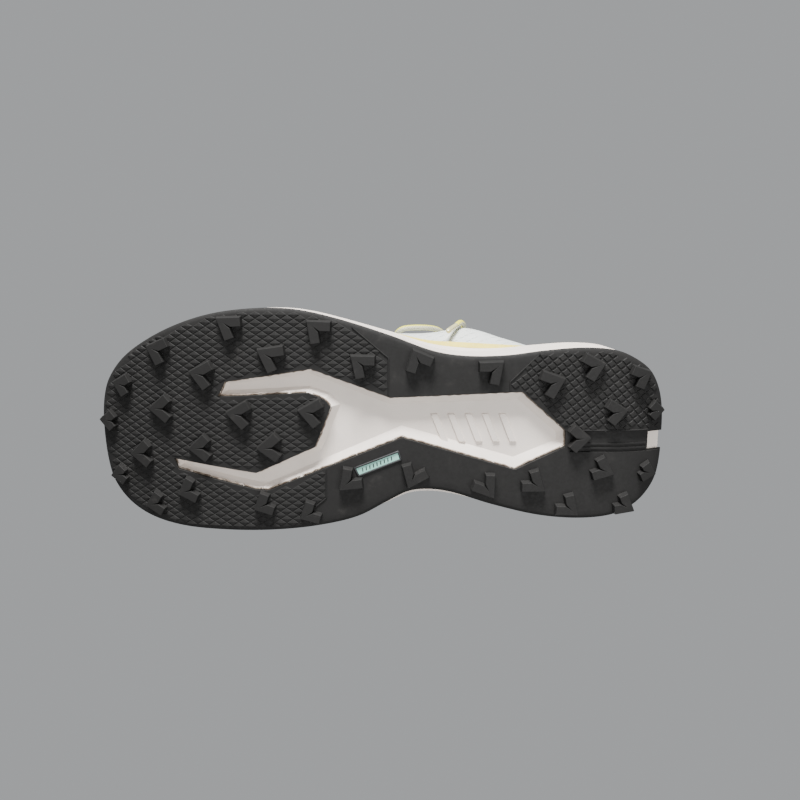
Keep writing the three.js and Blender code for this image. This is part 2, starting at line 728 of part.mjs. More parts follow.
function tongue() {
  const places = [tongueStart, 0.445, 0.48, 0.52, 0.56, 0.6, 0.64, 0.685, tongueEnd];
  const grid = (thickness) => {
    const lines = places.map((place) => tongueLine(place, thickness));
    const last = lines[lines.length - 1];
    return [...lines, ...tongueTail.map((move) => shifted(last, move))];
  };
  return gridBody(grid(0), grid(tongueThickness));
}

// The padded flap above the lacing, which folds at its base.
const flapRise = [[0, 0], [7, 6.5], [14, 14], [19.5, 21.5], [21.5, 25.5]];
const flapExtra = 1.5; // the flap is padded more than the tongue

function tongueTop() {
  const front = tongueLine(tongueStart, 0);
  const back = tongueLine(tongueStart, tongueThickness + flapExtra);
  const middle = (line) => line.slice(2, -2);
  const start = 3 * hingeGap;
  const grid = (line, swell) => flapRise.map(([backwards, upwards], i) => {
    const crown = swell * Math.sin(Math.PI * i / (flapRise.length - 1));
    return shifted(middle(line), [crown - start - backwards, 0, 0.8 * start + upwards]);
  }).reverse();
  return gridBody(grid(front, 1), grid(back, -flapExtra));
}

// ---- lacing ----
const loopPlaces = Array.from({ length: loopCount }, (_, i) => 0.465 + i * 0.05);
const loopReach = 5; // loop centre beyond the edge of the throat
const loopLift = 3;
const loopTail = 9;

function loopFrame(place, side) {
  const w = turnOf(place, side);
  const { along, up, out } = upperFrame(w, 1);
  const across = new THREE.Vector3().crossVectors(out, along).normalize();
  if (across.dot(up) < 0) across.negate();
  const origin = vector(upperAt(w, 1));
  const third = new THREE.Vector3().crossVectors(across, out);
  return { origin, across, out, third };
}

// A webbing loop: two layers sewn on the eyestay that part around the lace beyond its edge.
function laceLoop(place, side) {
  const { origin, across, out, third } = loopFrame(place, side);
  const base = sewnGap * 2 + overlayThickness;
  const radius = loopBore + webbing;
  const shape = new THREE.Shape();
  const spread = Math.asin((loopLift - base) / radius);
  shape.moveTo(-loopTail, base);
  shape.absarc(loopReach, loopLift, radius, Math.PI + spread, 3 * Math.PI - spread * 0.6, false);
  shape.lineTo(-loopTail, base + 2 * webbing);
  const bore = new THREE.Path();
  bore.absarc(loopReach, loopLift, loopBore, 0, 2 * Math.PI, true);
  shape.holes.push(bore);
  const band = { depth: loopWidth, bevelEnabled: false, curveSegments: 5 };
  const geometry = new THREE.ExtrudeGeometry(shape, band);
  geometry.translate(0, 0, -loopWidth / 2);
  geometry.applyMatrix4(new THREE.Matrix4().makeBasis(across, out, third).setPosition(origin));
  return geometry;
}

function loopCentre(place, side) {
  const { origin, across, out } = loopFrame(place, side);
  return origin.addScaledVector(across, loopReach).addScaledVector(out, loopLift);
}

function tube(points, diameter, steps, sides = 8) {
  const curve = new THREE.CatmullRomCurve3(points, false, 'centripetal');
  const section = new THREE.Shape();
  section.absarc(0, 0, diameter / 2, 0, 2 * Math.PI, false);
  return new THREE.ExtrudeGeometry(section, { steps, extrudePath: curve, curveSegments: sides / 4 * 2,
    bevelEnabled: false });
}

// Height of the middle of the tongue at a place along the throat.
const throatCrown = (place) => Math.max(...tongueLine(place, 0).map((p) => p[2]));

// The knot of the bow, on the tongue behind the top loops.
const knotSize = [6, 7, 5];
const knotPlace = 0.43;
const knotCentre = new THREE.Vector3(
  topLine(knotPlace / 2)[0],
  gradeY(throatAxis(gradeX(109))[0]),
  throatCrown(knotPlace) + knotSize[2] + 0.8,
);
const atKnot = (x, y, z, side) => knotCentre.clone().add(new THREE.Vector3(x, side * y, z));

// Half of the lacing, from the bottom loop up: through a loop, across the throat, to the knot.
function laceRun(side) {
  const points = [];
  const crossing = laceDiameter + 0.5;
  const places = [...loopPlaces].reverse();
  places.forEach((place, i) => {
    const current = i % 2 === 0 ? side : -side;
    const centre = loopCentre(place, current);
    const { third } = loopFrame(place, current);
    const ahead = third.clone().multiplyScalar((third.x > 0 ? -0.8 : 0.8) * loopWidth);
    points.push(centre.clone().sub(ahead), centre.clone().add(ahead));
    if (i === places.length - 1) return;
    const middle = centre.clone().add(loopCentre(places[i + 1], -current)).multiplyScalar(0.5);
    const lift = laceDiameter / 2 + 0.5 + (side > 0 ? crossing : 0);
    points.push(middle.setZ(throatCrown((place + places[i + 1]) / 2) + lift));
  });
  const last = places.length % 2 === 1 ? side : -side;
  points.push(atKnot(1.5, 12, -3.6, last), atKnot(0.5, knotSize[1] + 0.6, -2.8, last));
  return points;
}

function lace() {
  const lateral = laceRun(1);
  const medial = laceRun(-1);
  const bar = lateral[0].clone().add(medial[0]).multiplyScalar(0.5);
  bar.x += 3;
  bar.z = Math.max(bar.z, throatCrown(loopPlaces[loopCount - 1]) + laceDiameter / 2 + 0.4);
  return tube([...lateral.reverse(), bar, ...medial], laceDiameter, 66);
}

function laceKnot() {
  const geometry = new THREE.SphereGeometry(1, 14, 9);
  geometry.scale(...knotSize);
  geometry.translate(...knotCentre.toArray());
  return geometry;
}

// Routes of the bow and of the lace ends, chosen by hand, at a share of the way down each side.
const bowStrands = { near: 0.43, far: 0.488 };
const bowFit = 2.6; // between the bow and the surface below it
const bowClearance = laceDiameter / 2 + bowFit;
const bowRise = 3.2; // more of it over the webbing loops

function bowLoop(side) {
  const on = (place, v, lift) => vector(upperPoint(turnOf(place, side), v, lift));
  return tube([
    atKnot(-1.5, knotSize[1] + 0.8, 2, side),
    atKnot(-1, 13, 2.4, side),
    on(bowStrands.near, 0.97, bowClearance + bowRise),
    on(bowStrands.near - 0.002, 0.82, bowClearance),
    on(bowStrands.near + 0.004, 0.68, bowClearance),
    on(bowStrands.near + 0.022, 0.54, bowClearance),
    on(bowStrands.far - 0.004, 0.49, bowClearance),
    on(bowStrands.far + 0.018, 0.6, bowClearance),
    on(bowStrands.far + 0.01, 0.76, bowClearance),
    on(bowStrands.far + 0.002, 0.93, bowClearance + bowRise),
    atKnot(12, 14, 3.6, side),
    atKnot(4.5, knotSize[1] + 0.4, 1.6, side),
  ], laceDiameter, 30);
}

function laceEndRoute(side) {
  const on = (place, v, lift) => vector(upperPoint(turnOf(place, side), v, lift));
  return [
    atKnot(-5.4, knotSize[1] - 0.6, -1.4, side),
    atKnot(-7, 12, -1, side),
    on(0.4, 0.97, bowClearance),
    on(0.392, 0.84, bowClearance),
    on(0.388, 0.7, bowClearance - 0.8),
    on(0.386, 0.58, bowClearance - 0.8),
    on(0.386, 0.47, bowClearance - 0.8),
  ];
}

const laceEnd = (side) => tube(laceEndRoute(side), laceDiameter, 16);

function aglet(side) {
  const route = laceEndRoute(side);
  const end = route[route.length - 1];
  const along = end.clone().sub(route[route.length - 2]).normalize();
  const start = end.clone().addScaledVector(along, bondGap);
  const geometry = new THREE.CylinderGeometry(agletDiameter / 2, agletDiameter / 2, agletLength, 10);
  geometry.translate(0, agletLength / 2, 0);
  geometry.applyQuaternion(new THREE.Quaternion().setFromUnitVectors(new THREE.Vector3(0, 1, 0), along));
  geometry.translate(...start.toArray());
  return geometry;
}

// ---- heel pull tab: a folded webbing loop that tips about its sewn root ----
const pullTabWidth = 13;
const pullTabHeight = 22;
const pullTabHalf = 2.6; // half of the depth of the folded loop
const pullTabSeam = 4;
const pullTabLean = THREE.MathUtils.degToRad(-14);

function pullTab() {
  const [x, y, z] = upperAt(0, 1);
  const half = pullTabHalf;
  const outer = new THREE.Shape();
  outer.moveTo(-half * 0.5, 0);
  outer.lineTo(half * 0.5, 0);
  outer.lineTo(half, pullTabHeight * 0.4);
  outer.absarc(0, pullTabHeight - half, half, 0, Math.PI, false);
  outer.lineTo(-half, pullTabHeight * 0.4);
  const space = new THREE.Path();
  const inside = half - webbing;
  space.moveTo(0, pullTabSeam);
  space.lineTo(-inside, pullTabHeight * 0.42);
  space.lineTo(-inside, pullTabHeight - half);
  space.absarc(0, pullTabHeight - half, inside, Math.PI, 0, true);
  space.lineTo(inside, pullTabHeight * 0.42);
  outer.holes.push(space);
  const band = { depth: pullTabWidth, bevelEnabled: false, curveSegments: 8 };
  const geometry = new THREE.ExtrudeGeometry(outer, band);
  geometry.translate(0, 0, -pullTabWidth / 2);
  geometry.rotateX(Math.PI / 2);
  geometry.rotateY(pullTabLean);
  geometry.translate(x - shellThickness, y, z + hingeGap);
  return geometry;
}

// ---- materials ----
const material = (color, roughness) => new THREE.MeshStandardMaterial({ color, roughness, metalness: 0 });
const finishes = {
  rubber: [0x34363a, 0.75],
  foam: [0xe6e2da, 0.7],
  mint: [0xa9d6c7, 0.5],
  mesh: [0xe9eae6, 0.9],
  trim: [0xefe08a, 0.6],
  grey: [0xb9bcbc, 0.7],
  board: [0xd9d4c6, 0.9],
  cloth: [0x4a4d52, 0.95],
  stiffener: [0xc8c4ba, 0.6],
  lace: [0xdcdc62, 0.85],
  aglet: [0xe8e8e0, 0.3],
};

const shoe = new THREE.Group();
shoe.position.set(-soleLength / 2, -gradeY(6.5), 0);

function addPiece(name, shape, finish) {
  const geometry = shape.isBufferGeometry ? shape : geometryOf(shape);
  const mesh = new THREE.Mesh(geometry, material(...finishes[finish]));
  mesh.name = name;
  shoe.add(mesh);
}

addPiece('outsole', outsole(), 'rubber');
addPiece('sole_badge', soleBadge(), 'mint');
addPiece('midsole', midsole(), 'foam');
addPiece('strobel_board', strobelBoard(), 'board');
addPiece('insole', insole(), 'foam');
addPiece('insole_cover', insoleCover(), 'cloth');
addPiece('vamp', vamp(), 'mesh');
addPiece('quarter_lateral', quarter(1), 'mesh');
addPiece('quarter_medial', quarter(-1), 'mesh');
addPiece('mudguard_rand', rand(), 'trim');
addPiece('toe_bumper', toeBumper(), 'grey');
addPiece('heel_tape', heelTape(), 'grey');
addPiece('eyestay_lateral', eyestay(1), 'grey');
addPiece('eyestay_medial', eyestay(-1), 'grey');
addPiece('heel_counter', heelCounter(), 'stiffener');
addPiece('toe_puff', toePuff(), 'stiffener');
addPiece('collar_padding', collarPadding(), 'foam');
addPiece('collar_lining', collarLining(), 'cloth');
addPiece('tongue', tongue(), 'mesh');
addPiece('tongue_top', tongueTop(), 'mesh');
for (const [side, name] of [[1, 'lateral'], [-1, 'medial']]) {
  loopPlaces.forEach((place, i) => {
    addPiece(`lace_loop_${name}_${i + 1}`, laceLoop(place, side), 'grey');
  });
  addPiece(`bow_loop_${name}`, bowLoop(side), 'lace');
  addPiece(`lace_end_${name}`, laceEnd(side), 'lace');
  addPiece(`aglet_${name}`, aglet(side), 'aglet');
}
addPiece('lace', lace(), 'lace');
addPiece('lace_knot', laceKnot(), 'lace');
addPiece('heel_pull_tab', pullTab(), 'trim');

export default shoe;
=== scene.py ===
# A trail running shoe for the left foot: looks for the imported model.
# Shapes are worked out in millimetres on the shoe's own pattern and put in the row frame in metres.
import json
import math
import bmesh
import bpy
import numpy as np
from mathutils import Matrix, Vector, noise

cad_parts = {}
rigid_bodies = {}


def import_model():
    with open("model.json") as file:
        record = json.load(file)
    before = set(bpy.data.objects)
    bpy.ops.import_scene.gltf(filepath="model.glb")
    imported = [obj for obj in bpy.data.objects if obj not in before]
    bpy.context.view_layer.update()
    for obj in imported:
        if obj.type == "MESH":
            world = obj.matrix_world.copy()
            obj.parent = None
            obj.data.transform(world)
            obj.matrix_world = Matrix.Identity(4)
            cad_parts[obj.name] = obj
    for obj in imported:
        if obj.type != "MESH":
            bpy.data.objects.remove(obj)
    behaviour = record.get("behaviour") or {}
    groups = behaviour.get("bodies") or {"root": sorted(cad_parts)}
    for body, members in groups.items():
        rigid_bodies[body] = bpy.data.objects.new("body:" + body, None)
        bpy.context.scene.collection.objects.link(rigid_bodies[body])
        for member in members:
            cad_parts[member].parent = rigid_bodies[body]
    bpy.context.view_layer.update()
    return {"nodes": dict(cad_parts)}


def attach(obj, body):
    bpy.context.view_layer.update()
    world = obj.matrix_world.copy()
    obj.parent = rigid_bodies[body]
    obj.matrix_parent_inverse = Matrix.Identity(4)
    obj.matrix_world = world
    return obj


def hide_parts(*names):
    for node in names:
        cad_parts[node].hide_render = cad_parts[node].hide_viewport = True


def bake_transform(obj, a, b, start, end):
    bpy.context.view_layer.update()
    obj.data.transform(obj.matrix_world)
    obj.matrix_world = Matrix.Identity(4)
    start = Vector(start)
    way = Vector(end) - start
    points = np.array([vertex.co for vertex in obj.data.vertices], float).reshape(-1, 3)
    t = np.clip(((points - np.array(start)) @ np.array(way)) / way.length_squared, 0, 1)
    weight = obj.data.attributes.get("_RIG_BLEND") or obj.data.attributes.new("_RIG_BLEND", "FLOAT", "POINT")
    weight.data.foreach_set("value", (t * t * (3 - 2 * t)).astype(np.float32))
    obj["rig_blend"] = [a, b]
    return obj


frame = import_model()
nodes = frame["nodes"]
mm = 0.001
patternOrigin = np.array([150.5, 6.5, 0.0])  # the row frame's origin on the pattern

# camera
cameraView = {"distance": 0.411, "tilt": 12, "lookAt": (-0.011, 0.0131, 0.0), "lens": 36.09}


def makeCamera():
    tilt = math.radians(cameraView["tilt"])
    up = Vector((0, math.cos(tilt), math.sin(tilt)))
    back = Vector((0, math.sin(tilt), -math.cos(tilt)))
    right = up.cross(back)
    data = bpy.data.cameras.new("camera")
    data.lens = cameraView["lens"]
    data.sensor_width = 36
    data.clip_start = 0.01
    data.clip_end = 30
    made = bpy.data.objects.new("camera", data)
    bpy.context.scene.collection.objects.link(made)
    turn = Matrix((right, up, back)).transposed().to_4x4()
    at = Vector(cameraView["lookAt"]) + back * cameraView["distance"]
    made.matrix_world = Matrix.Translation(at) @ turn
    bpy.context.scene.camera = made


makeCamera()
print("camera placed")

# the pattern: outline, heights and the surface of the upper
pattern = {
    "lugHeight": 4.0, "rubber": 2.5, "toeSpring": 18, "springStart": 205, "springLength": 95,
    "heelBevel": 7, "bevelLength": 28, "bondGap": 0.3, "cupInset": 4.6, "rimWidth": 1.2, "rimDraft": 0.7,
    "rimLean": 0.48, "lateralFlare": 0.0, "medialFlare": 3.2, "upperFit": 0.8, "shell": 1.6, "sewnGap": 0.6,
    "counter": 1.3, "collarPad": 4.4, "lining": 0.9, "tongue": 4.5, "tongueFit": 0.8, "tongueTuck": 12,
    "medialFullness": 0.48, "liningPlace": 0.4,
}
lateralEdge = [[0.5, 4], [2.5, 20], [8, 32], [16, 39], [28, 44.5], [45, 46], [65, 44.5], [85, 42],
               [105, 41.7], [122, 44.2], [145, 52.5], [170, 60.5], [192, 65.5], [212, 66.2], [236, 63.2],
               [258, 56], [278, 45.2], [290, 35], [298, 22]]
medialEdge = [[301, 2], [298.5, -25], [291, -38], [278, -47], [260, -51.8], [236, -53.2], [205, -52.6],
              [182, -50], [162, -45], [146, -36.5], [135, -31], [124, -29.8], [112, -31.6], [90, -38.5],
              [65, -44.4], [42, -46], [24, -43.3], [10, -35], [2, -22]]
# place, x, half width, height, reach x y z at the top edge, lean out and up at the bottom edge
topEdge = [
    [0, 9.5, 0, 65, -8, 0, -22, 0.4, 20], [0.07, 13, 15.5, 62.5, -5, 6, -20, 0.4, 19],
    [0.15, 26, 26.5, 54, 0, 6, -15, 0.5, 16], [0.24, 50, 30.5, 43.5, 0, 5, -12, 1, 13],
    [0.31, 74, 29.5, 45.5, 0, 22, -12, 3, 15], [0.38, 96, 25, 54.5, 0, 40, -14, 4.5, 19],
    [0.44, 112, 20, 58.5, 0, 34, -14, 3, 21], [0.52, 136, 17, 52, 0, 20, -10, 1, 19],
    [0.6, 162, 15, 43.5, 0, 16, -6, 0.5, 18], [0.68, 186, 13, 35.5, 2, 23, -3, 0.8, 17],
    [0.74, 201, 11.5, 30.5, 8, 21, -1, 0.5, 17], [0.8, 209, 8.6, 28, 20, 17, -0.5, 0.4, 17],
    [0.9, 213.5, 4, 26.6, 34, 7, 0, 0.4, 18], [1, 214.5, 0, 26.4, 38, 0, 0, 0.4, 18],
]


def smoothRows(rows, closed=False):
    rows = np.array(rows, float)
    if closed:
        lead, tail = rows[-3:].copy(), rows[:3].copy()
        lead[:, 0] -= 1
        tail[:, 0] += 1
        rows = np.concatenate([lead, rows, tail])
    keys, values = rows[:, 0], rows[:, 1:]
    before = np.maximum(np.arange(len(keys)) - 1, 0)
    after = np.minimum(np.arange(len(keys)) + 1, len(keys) - 1)
    slopes = (values[after] - values[before]) / (keys[after] - keys[before])[:, None]

    def at(key):
        key = np.asarray(key, float)
        k = key - np.floor(key) if closed else np.clip(key, keys[0], keys[-1])
        i = np.clip(np.searchsorted(keys, k, side="right") - 1, 0, len(keys) - 2)
        span = (keys[i + 1] - keys[i])[..., None]
        t = (k - keys[i])[..., None] / span
        a, b, ma, mb = values[i], values[i + 1], slopes[i] * span, slopes[i + 1] * span
        return a + t * (ma + t * (3 * (b - a) - 2 * ma - mb + t * (2 * (a - b) + ma + mb)))

    return at


def keyedOutline():
    points = np.array(lateralEdge + medialEdge, float)
    steps = np.linalg.norm(np.roll(points, -1, axis=0) - points, axis=1)
    along = np.concatenate([[0], np.cumsum(steps)])
    toe, whole = along[len(lateralEdge)], along[-1]
    along = along[:-1]
    keys = np.where(along <= toe, 0.5 * along / toe, 0.5 + 0.5 * (along - toe) / (whole - toe))
    return smoothRows(np.column_stack([keys, points]), True)


outline = keyedOutline()
footbedRows = smoothRows([[0, 26.5], [60, 25.5], [110, 23.5], [160, 19.9], [205, 18.1], [250, 22.1],
                          [301, 31.5]])
rimRows = smoothRows([[0, 9], [60, 9], [110, 8.4], [150, 7], [205, 5.4], [255, 6], [301, 8.5]])
throatAxis = smoothRows([[0, 0], [60, 0], [120, 1.5], [200, 4], [301, 5]])
smallTurn = 0.002


def sole(w, inset):
    p, a, b = outline(w), outline(w - smallTurn), outline(w + smallTurn)
    way = (b - a) / np.linalg.norm(b - a, axis=-1)[..., None]
    inset = np.asarray(inset, float)
    return np.stack([p[..., 0] + inset * way[..., 1], p[..., 1] - inset * way[..., 0]], -1)


def ease(low, high, value):
    t = np.clip((value - low) / (high - low), 0, 1)
    return t * t * (3 - 2 * t)


def rocker(x):
    toe = np.maximum(0, x - pattern["springStart"]) / pattern["springLength"]
    heel = np.maximum(0, pattern["bevelLength"] - x) / pattern["bevelLength"]
    return pattern["toeSpring"] * toe ** 2 + pattern["heelBevel"] * heel ** 2


def rubberFace(x):
    return pattern["lugHeight"] + rocker(x)


def foamFace(x):
    return rubberFace(x) + pattern["rubber"] + pattern["bondGap"]


def footbed(x):
    return pattern["lugHeight"] + pattern["rubber"] + footbedRows(x)[..., 0]


def rim(x):
    return footbed(x) + rimRows(x)[..., 0]


def flare(w):
    turn = w - np.floor(w)
    return (pattern["lateralFlare"] * np.exp(-(((turn - 0.195) / 0.055) ** 2))
            + pattern["medialFlare"] * np.exp(-(((turn - 0.785) / 0.05) ** 2)))


def placeOf(w):
    turn = w - np.floor(w)
    return 2 * np.minimum(turn, 1 - turn)


def turnOf(place, side):
    return place / 2 if side > 0 else 1 - place / 2


def topRow(row, side):
    place, x, half, z, rx, ry, rz, out, up = row
    waist = math.exp(-(((place - 0.42) / 0.13) ** 2))
    full = 1 if side > 0 else 1 - (1 - pattern["medialFullness"]) * waist
    y = float(throatAxis(x)[0]) + side * half
    height = float(footbed(np.array(0.0))) + z
    return [turnOf(place, side), x, y, height, rx, side * ry * full, rz, out * full, up]


topLine = smoothRows([topRow(r, 1) for r in topEdge] + [topRow(r, -1) for r in topEdge[1:-1]][::-1], True)


def upperAt(w, v):
    w, v = np.broadcast_arrays(np.asarray(w, float), np.asarray(v, float))
    lasting = pattern["cupInset"] + pattern["upperFit"] - flare(w)
    low = sole(w, lasting)
    z = footbed(low[..., 0]) + pattern["bondGap"]
    top = topLine(w)
    lean = sole(w, lasting - top[..., 6])
    p0 = np.concatenate([low, z[..., None]], -1)
    p1 = np.concatenate([lean, (z + top[..., 7])[..., None]], -1)
    p3 = top[..., :3]
    p2 = p3 + top[..., 3:6]
    t = v[..., None]
    return (1 - t) ** 3 * p0 + 3 * t * (1 - t) ** 2 * p1 + 3 * t * t * (1 - t) * p2 + t ** 3 * p3


def unit(vectors):
    return vectors / np.maximum(np.linalg.norm(vectors, axis=-1), 1e-9)[..., None]


def upperFrame(w, v):
    along = unit(upperAt(w + smallTurn, v) - upperAt(w - smallTurn, v))
    up = unit(upperAt(w, np.minimum(v + 0.004, 1)) - upperAt(w, np.maximum(v - 0.004, 0)))
    return along, up, unit(np.cross(up, along))


def upperPoint(w, v, offset):
    w, v, offset = np.broadcast_arrays(*(np.asarray(a, float) for a in (w, v, offset)))
    return upperAt(w, v) + upperFrame(w, v)[2] * offset[..., None]


def rimInner(w):
    return pattern["cupInset"] - pattern["rimDraft"] - pattern["rimLean"] * topLine(w)[..., 6] - flare(w)


# arc lengths up the upper, on a table of turns and shares
arcTurns = np.linspace(0, 1, 241)
arcShares = np.linspace(0, 1, 61)
arcPoints = upperAt(arcTurns[:, None], arcShares[None, :])
arcLength = np.concatenate([np.zeros((len(arcTurns), 1)),
                            np.cumsum(np.linalg.norm(np.diff(arcPoints, axis=1), axis=-1), axis=1)], 1)
girthLength = np.concatenate([[0], np.cumsum(np.linalg.norm(np.diff(outline(arcTurns), axis=0), axis=-1))])


def shareWhere(w, wanted, table):
    # share v at which a table over turns and shares reaches the wanted value
    w, wanted = np.broadcast_arrays(np.asarray(w, float), np.asarray(wanted, float))
    rows = (w - np.floor(w)) * (len(arcTurns) - 1)
    low = np.clip(np.floor(rows).astype(int), 0, len(arcTurns) - 2)
    part = rows - low
    flat = []
    for i, p, goal in zip(low.ravel(), part.ravel(), wanted.ravel()):
        line = table[i] * (1 - p) + table[i + 1] * p
        flat.append(np.interp(goal, line, arcShares))
    return np.array(flat).reshape(w.shape)


def shareAtHeight(w, z):
    return shareWhere(w, z, np.maximum.accumulate(arcPoints[..., 2], axis=1))


def wholeArc(w):
    return np.interp(w - np.floor(w), arcTurns, arcLength[:, -1])


def shareBelowTop(w, distance):
    return shareWhere(w, wholeArc(w) - distance, arcLength)


def aboveRim(w, height):
    x = sole(w, pattern["cupInset"] + pattern["upperFit"])[..., 0]
    return shareAtHeight(w, rim(x) + height)


def clothUv(w, v):
    # metres around the shoe and up its side
    u = np.interp(w - np.floor(w), arcTurns, girthLength)
    up = np.zeros_like(u)
    rows = (w - np.floor(w)) * (len(arcTurns) - 1)
    low = np.clip(np.floor(rows).astype(int), 0, len(arcTurns) - 2)
    part = rows - low
    column = np.clip(v * (len(arcShares) - 1), 0, len(arcShares) - 1.001)
    c = np.floor(column).astype(int)
    rest = column - c
    for i, k in ((low, 1 - part), (low + 1, part)):
        up += k * (arcLength[i, c] * (1 - rest) + arcLength[i, c + 1] * rest)
    return np.stack([u, up], -1) * mm


def toRow(points):
    return (np.asarray(points) - patternOrigin) * mm


# mesh helpers
def newPiece(name, bm=None, mesh=None):
    mesh = mesh or bpy.data.meshes.new(name)
    if bm is not None:
        bm.to_mesh(mesh)
        bm.free()
    made = bpy.data.objects.new(name, mesh)
    bpy.context.scene.collection.objects.link(made)
    return made


def gridPiece(name, columns, rows, place, outward=None, weld=False):
    # place(u, v) gives pattern points and, where it has them, cloth coordinates in metres
    bm = bmesh.new()
    layer = bm.loops.layers.uv.new("cloth")
    bmesh.ops.create_grid(bm, x_segments=columns, y_segments=rows, size=0.5, calc_uvs=True)
    co = np.array([v.co[:2] for v in bm.verts]) + 0.5
    u = np.round(co[:, 0] * columns) / columns
    v = np.round(co[:, 1] * rows) / rows
    points, cloth = place(u, v)
    points = toRow(points)
    for vert, p in zip(bm.verts, points):
        vert.co = p
    bm.verts.index_update()
    for face in bm.faces:
        for loop in face.loops:
            loop[layer].uv = cloth[loop.vert.index]
    if outward is not None:
        bm.normal_update()
        bm.faces.ensure_lookup_table()
        face = bm.faces[len(bm.faces) // 2 + columns // 2]
        goal = outward(*(np.mean([[u[k.index], v[k.index]] for k in face.verts], axis=0)))
        if face.normal.dot(Vector(goal)) < 0:
            bmesh.ops.reverse_faces(bm, faces=bm.faces[:])
    if weld:
        bmesh.ops.remove_doubles(bm, verts=bm.verts[:], dist=0.00001)
        bmesh.ops.recalc_face_normals(bm, faces=bm.faces[:])
    return newPiece(name, bm)


def shellPiece(name, span, low, high, offset, thickness, columns, rows, edge=0.3):
    # a layer of the upper between two turns and two shares, thickened inwards
    def valueAt(value, w):
        return value(w) if callable(value) else np.full_like(w, value)

    def place(u, v):
        w = span[0] + (span[1] - span[0]) * u
        lowest, highest = valueAt(low, w), valueAt(high, w)
        share = lowest + (highest - lowest) * v
        return upperPoint(w, share, offset(w, share) if callable(offset) else offset), clothUv(w, share)

    def outward(u, v):
        w = np.array(span[0] + (span[1] - span[0]) * u)
        lowest, highest = valueAt(low, w), valueAt(high, w)
        return upperFrame(w, lowest + (highest - lowest) * v)[2]

    piece = gridPiece(name, columns, rows, place, outward)
    solid = piece.modifiers.new("thickness", "SOLIDIFY")
    solid.thickness = thickness * mm
    solid.offset = -1
    if edge:
        bevelPiece(piece, edge, 2, 50)
    smoothShade(piece, 45)
    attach(piece, "root")
    return piece


def bevelPiece(piece, width, segments=2, angle=35):
    bevel = piece.modifiers.new("bevel", "BEVEL")
    bevel.width = width * mm
    bevel.segments = segments
    bevel.limit_method = "ANGLE"
    bevel.angle_limit = math.radians(angle)
    bevel.use_clamp_overlap = True
    bevel.harden_normals = True


def smoothShade(piece, angle=35):
    piece.data.shade_smooth()
    piece.data.set_sharp_from_angle(angle=math.radians(angle))


def applyModifiers(piece):
    graph = bpy.context.evaluated_depsgraph_get()
    mesh = bpy.data.meshes.new_from_object(piece.evaluated_get(graph))
    piece.modifiers.clear()
    piece.data = mesh


def carve(piece, cutter):
    boolean = piece.modifiers.new("carve", "BOOLEAN")
    boolean.object = cutter
    boolean.operation = "DIFFERENCE"
    boolean.solver = "EXACT"
    bpy.context.view_layer.update()
    applyModifiers(piece)
    bpy.data.objects.remove(cutter)


def joinPieces(pieces, name):
    bm = bmesh.new()
    for piece in pieces:
        bm.from_mesh(piece.data)
    for piece in pieces:
        bpy.data.objects.remove(piece)
    return newPiece(name, bm)


def mergedCopy(node, name):
    bm = bmesh.new()
    bm.from_mesh(nodes[node].data)
    bmesh.ops.remove_doubles(bm, verts=bm.verts[:], dist=0.00001)
    bmesh.ops.dissolve_limit(bm, angle_limit=math.radians(1), verts=bm.verts[:], edges=bm.edges[:])
    return newPiece(name, bm)


def settle(piece, slot, material, *replaced, body="root"):
    if piece.parent is None and "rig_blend" not in piece:
        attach(piece, body)
    if replaced:
        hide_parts(*replaced)
    piece.data.materials.clear()
    piece.data.materials.append(material)
    return piece


def spread(count):
    return np.linspace(0, 1, count)


def shoeBody(name, rows, columns=360):
    # rows of points around the outline, each a function of the turn; the two ends close on the spine
    turns = spread(columns + 1)
    table = np.stack([row(turns) for row in rows])

    def place(u, v):
        r = np.round(v * (len(rows) - 1)).astype(int)
        c = np.round(u * columns).astype(int)
        points = table[r, c]
        return points, points[:, :2] * mm

    return gridPiece(name, columns, len(rows) - 1, place, weld=True)


def edgeRow(inset, height):
    def row(w):
        xy = sole(w, inset(w) if callable(inset) else inset)
        return np.column_stack([xy, height(xy[:, 0])])
    return row


def innerRow(share, inset, height):
    # part of the way from the edge row to the line along the middle of the sole
    def row(w):
        xy = sole(w, inset(w) if callable(inset) else inset)
        other = sole(1 - w, inset(1 - w) if callable(inset) else inset)
        xy = xy + (other - xy) * share / 2
        return np.column_stack([xy, height(xy[:, 0])])
    return row


def offsetOutline(points, distance):
    # an anticlockwise outline grown outwards
    points = np.array(points, float)
    d1 = unit(points - np.roll(points, 1, axis=0))
    d2 = unit(np.roll(points, -1, axis=0) - points)
    miter = unit(np.column_stack([d1[:, 1] + d2[:, 1], -d1[:, 0] - d2[:, 0]]))
    reach = distance / np.maximum(0.4, miter[:, 0] * d1[:, 1] - miter[:, 1] * d1[:, 0])
    return points + miter * reach[:, None]


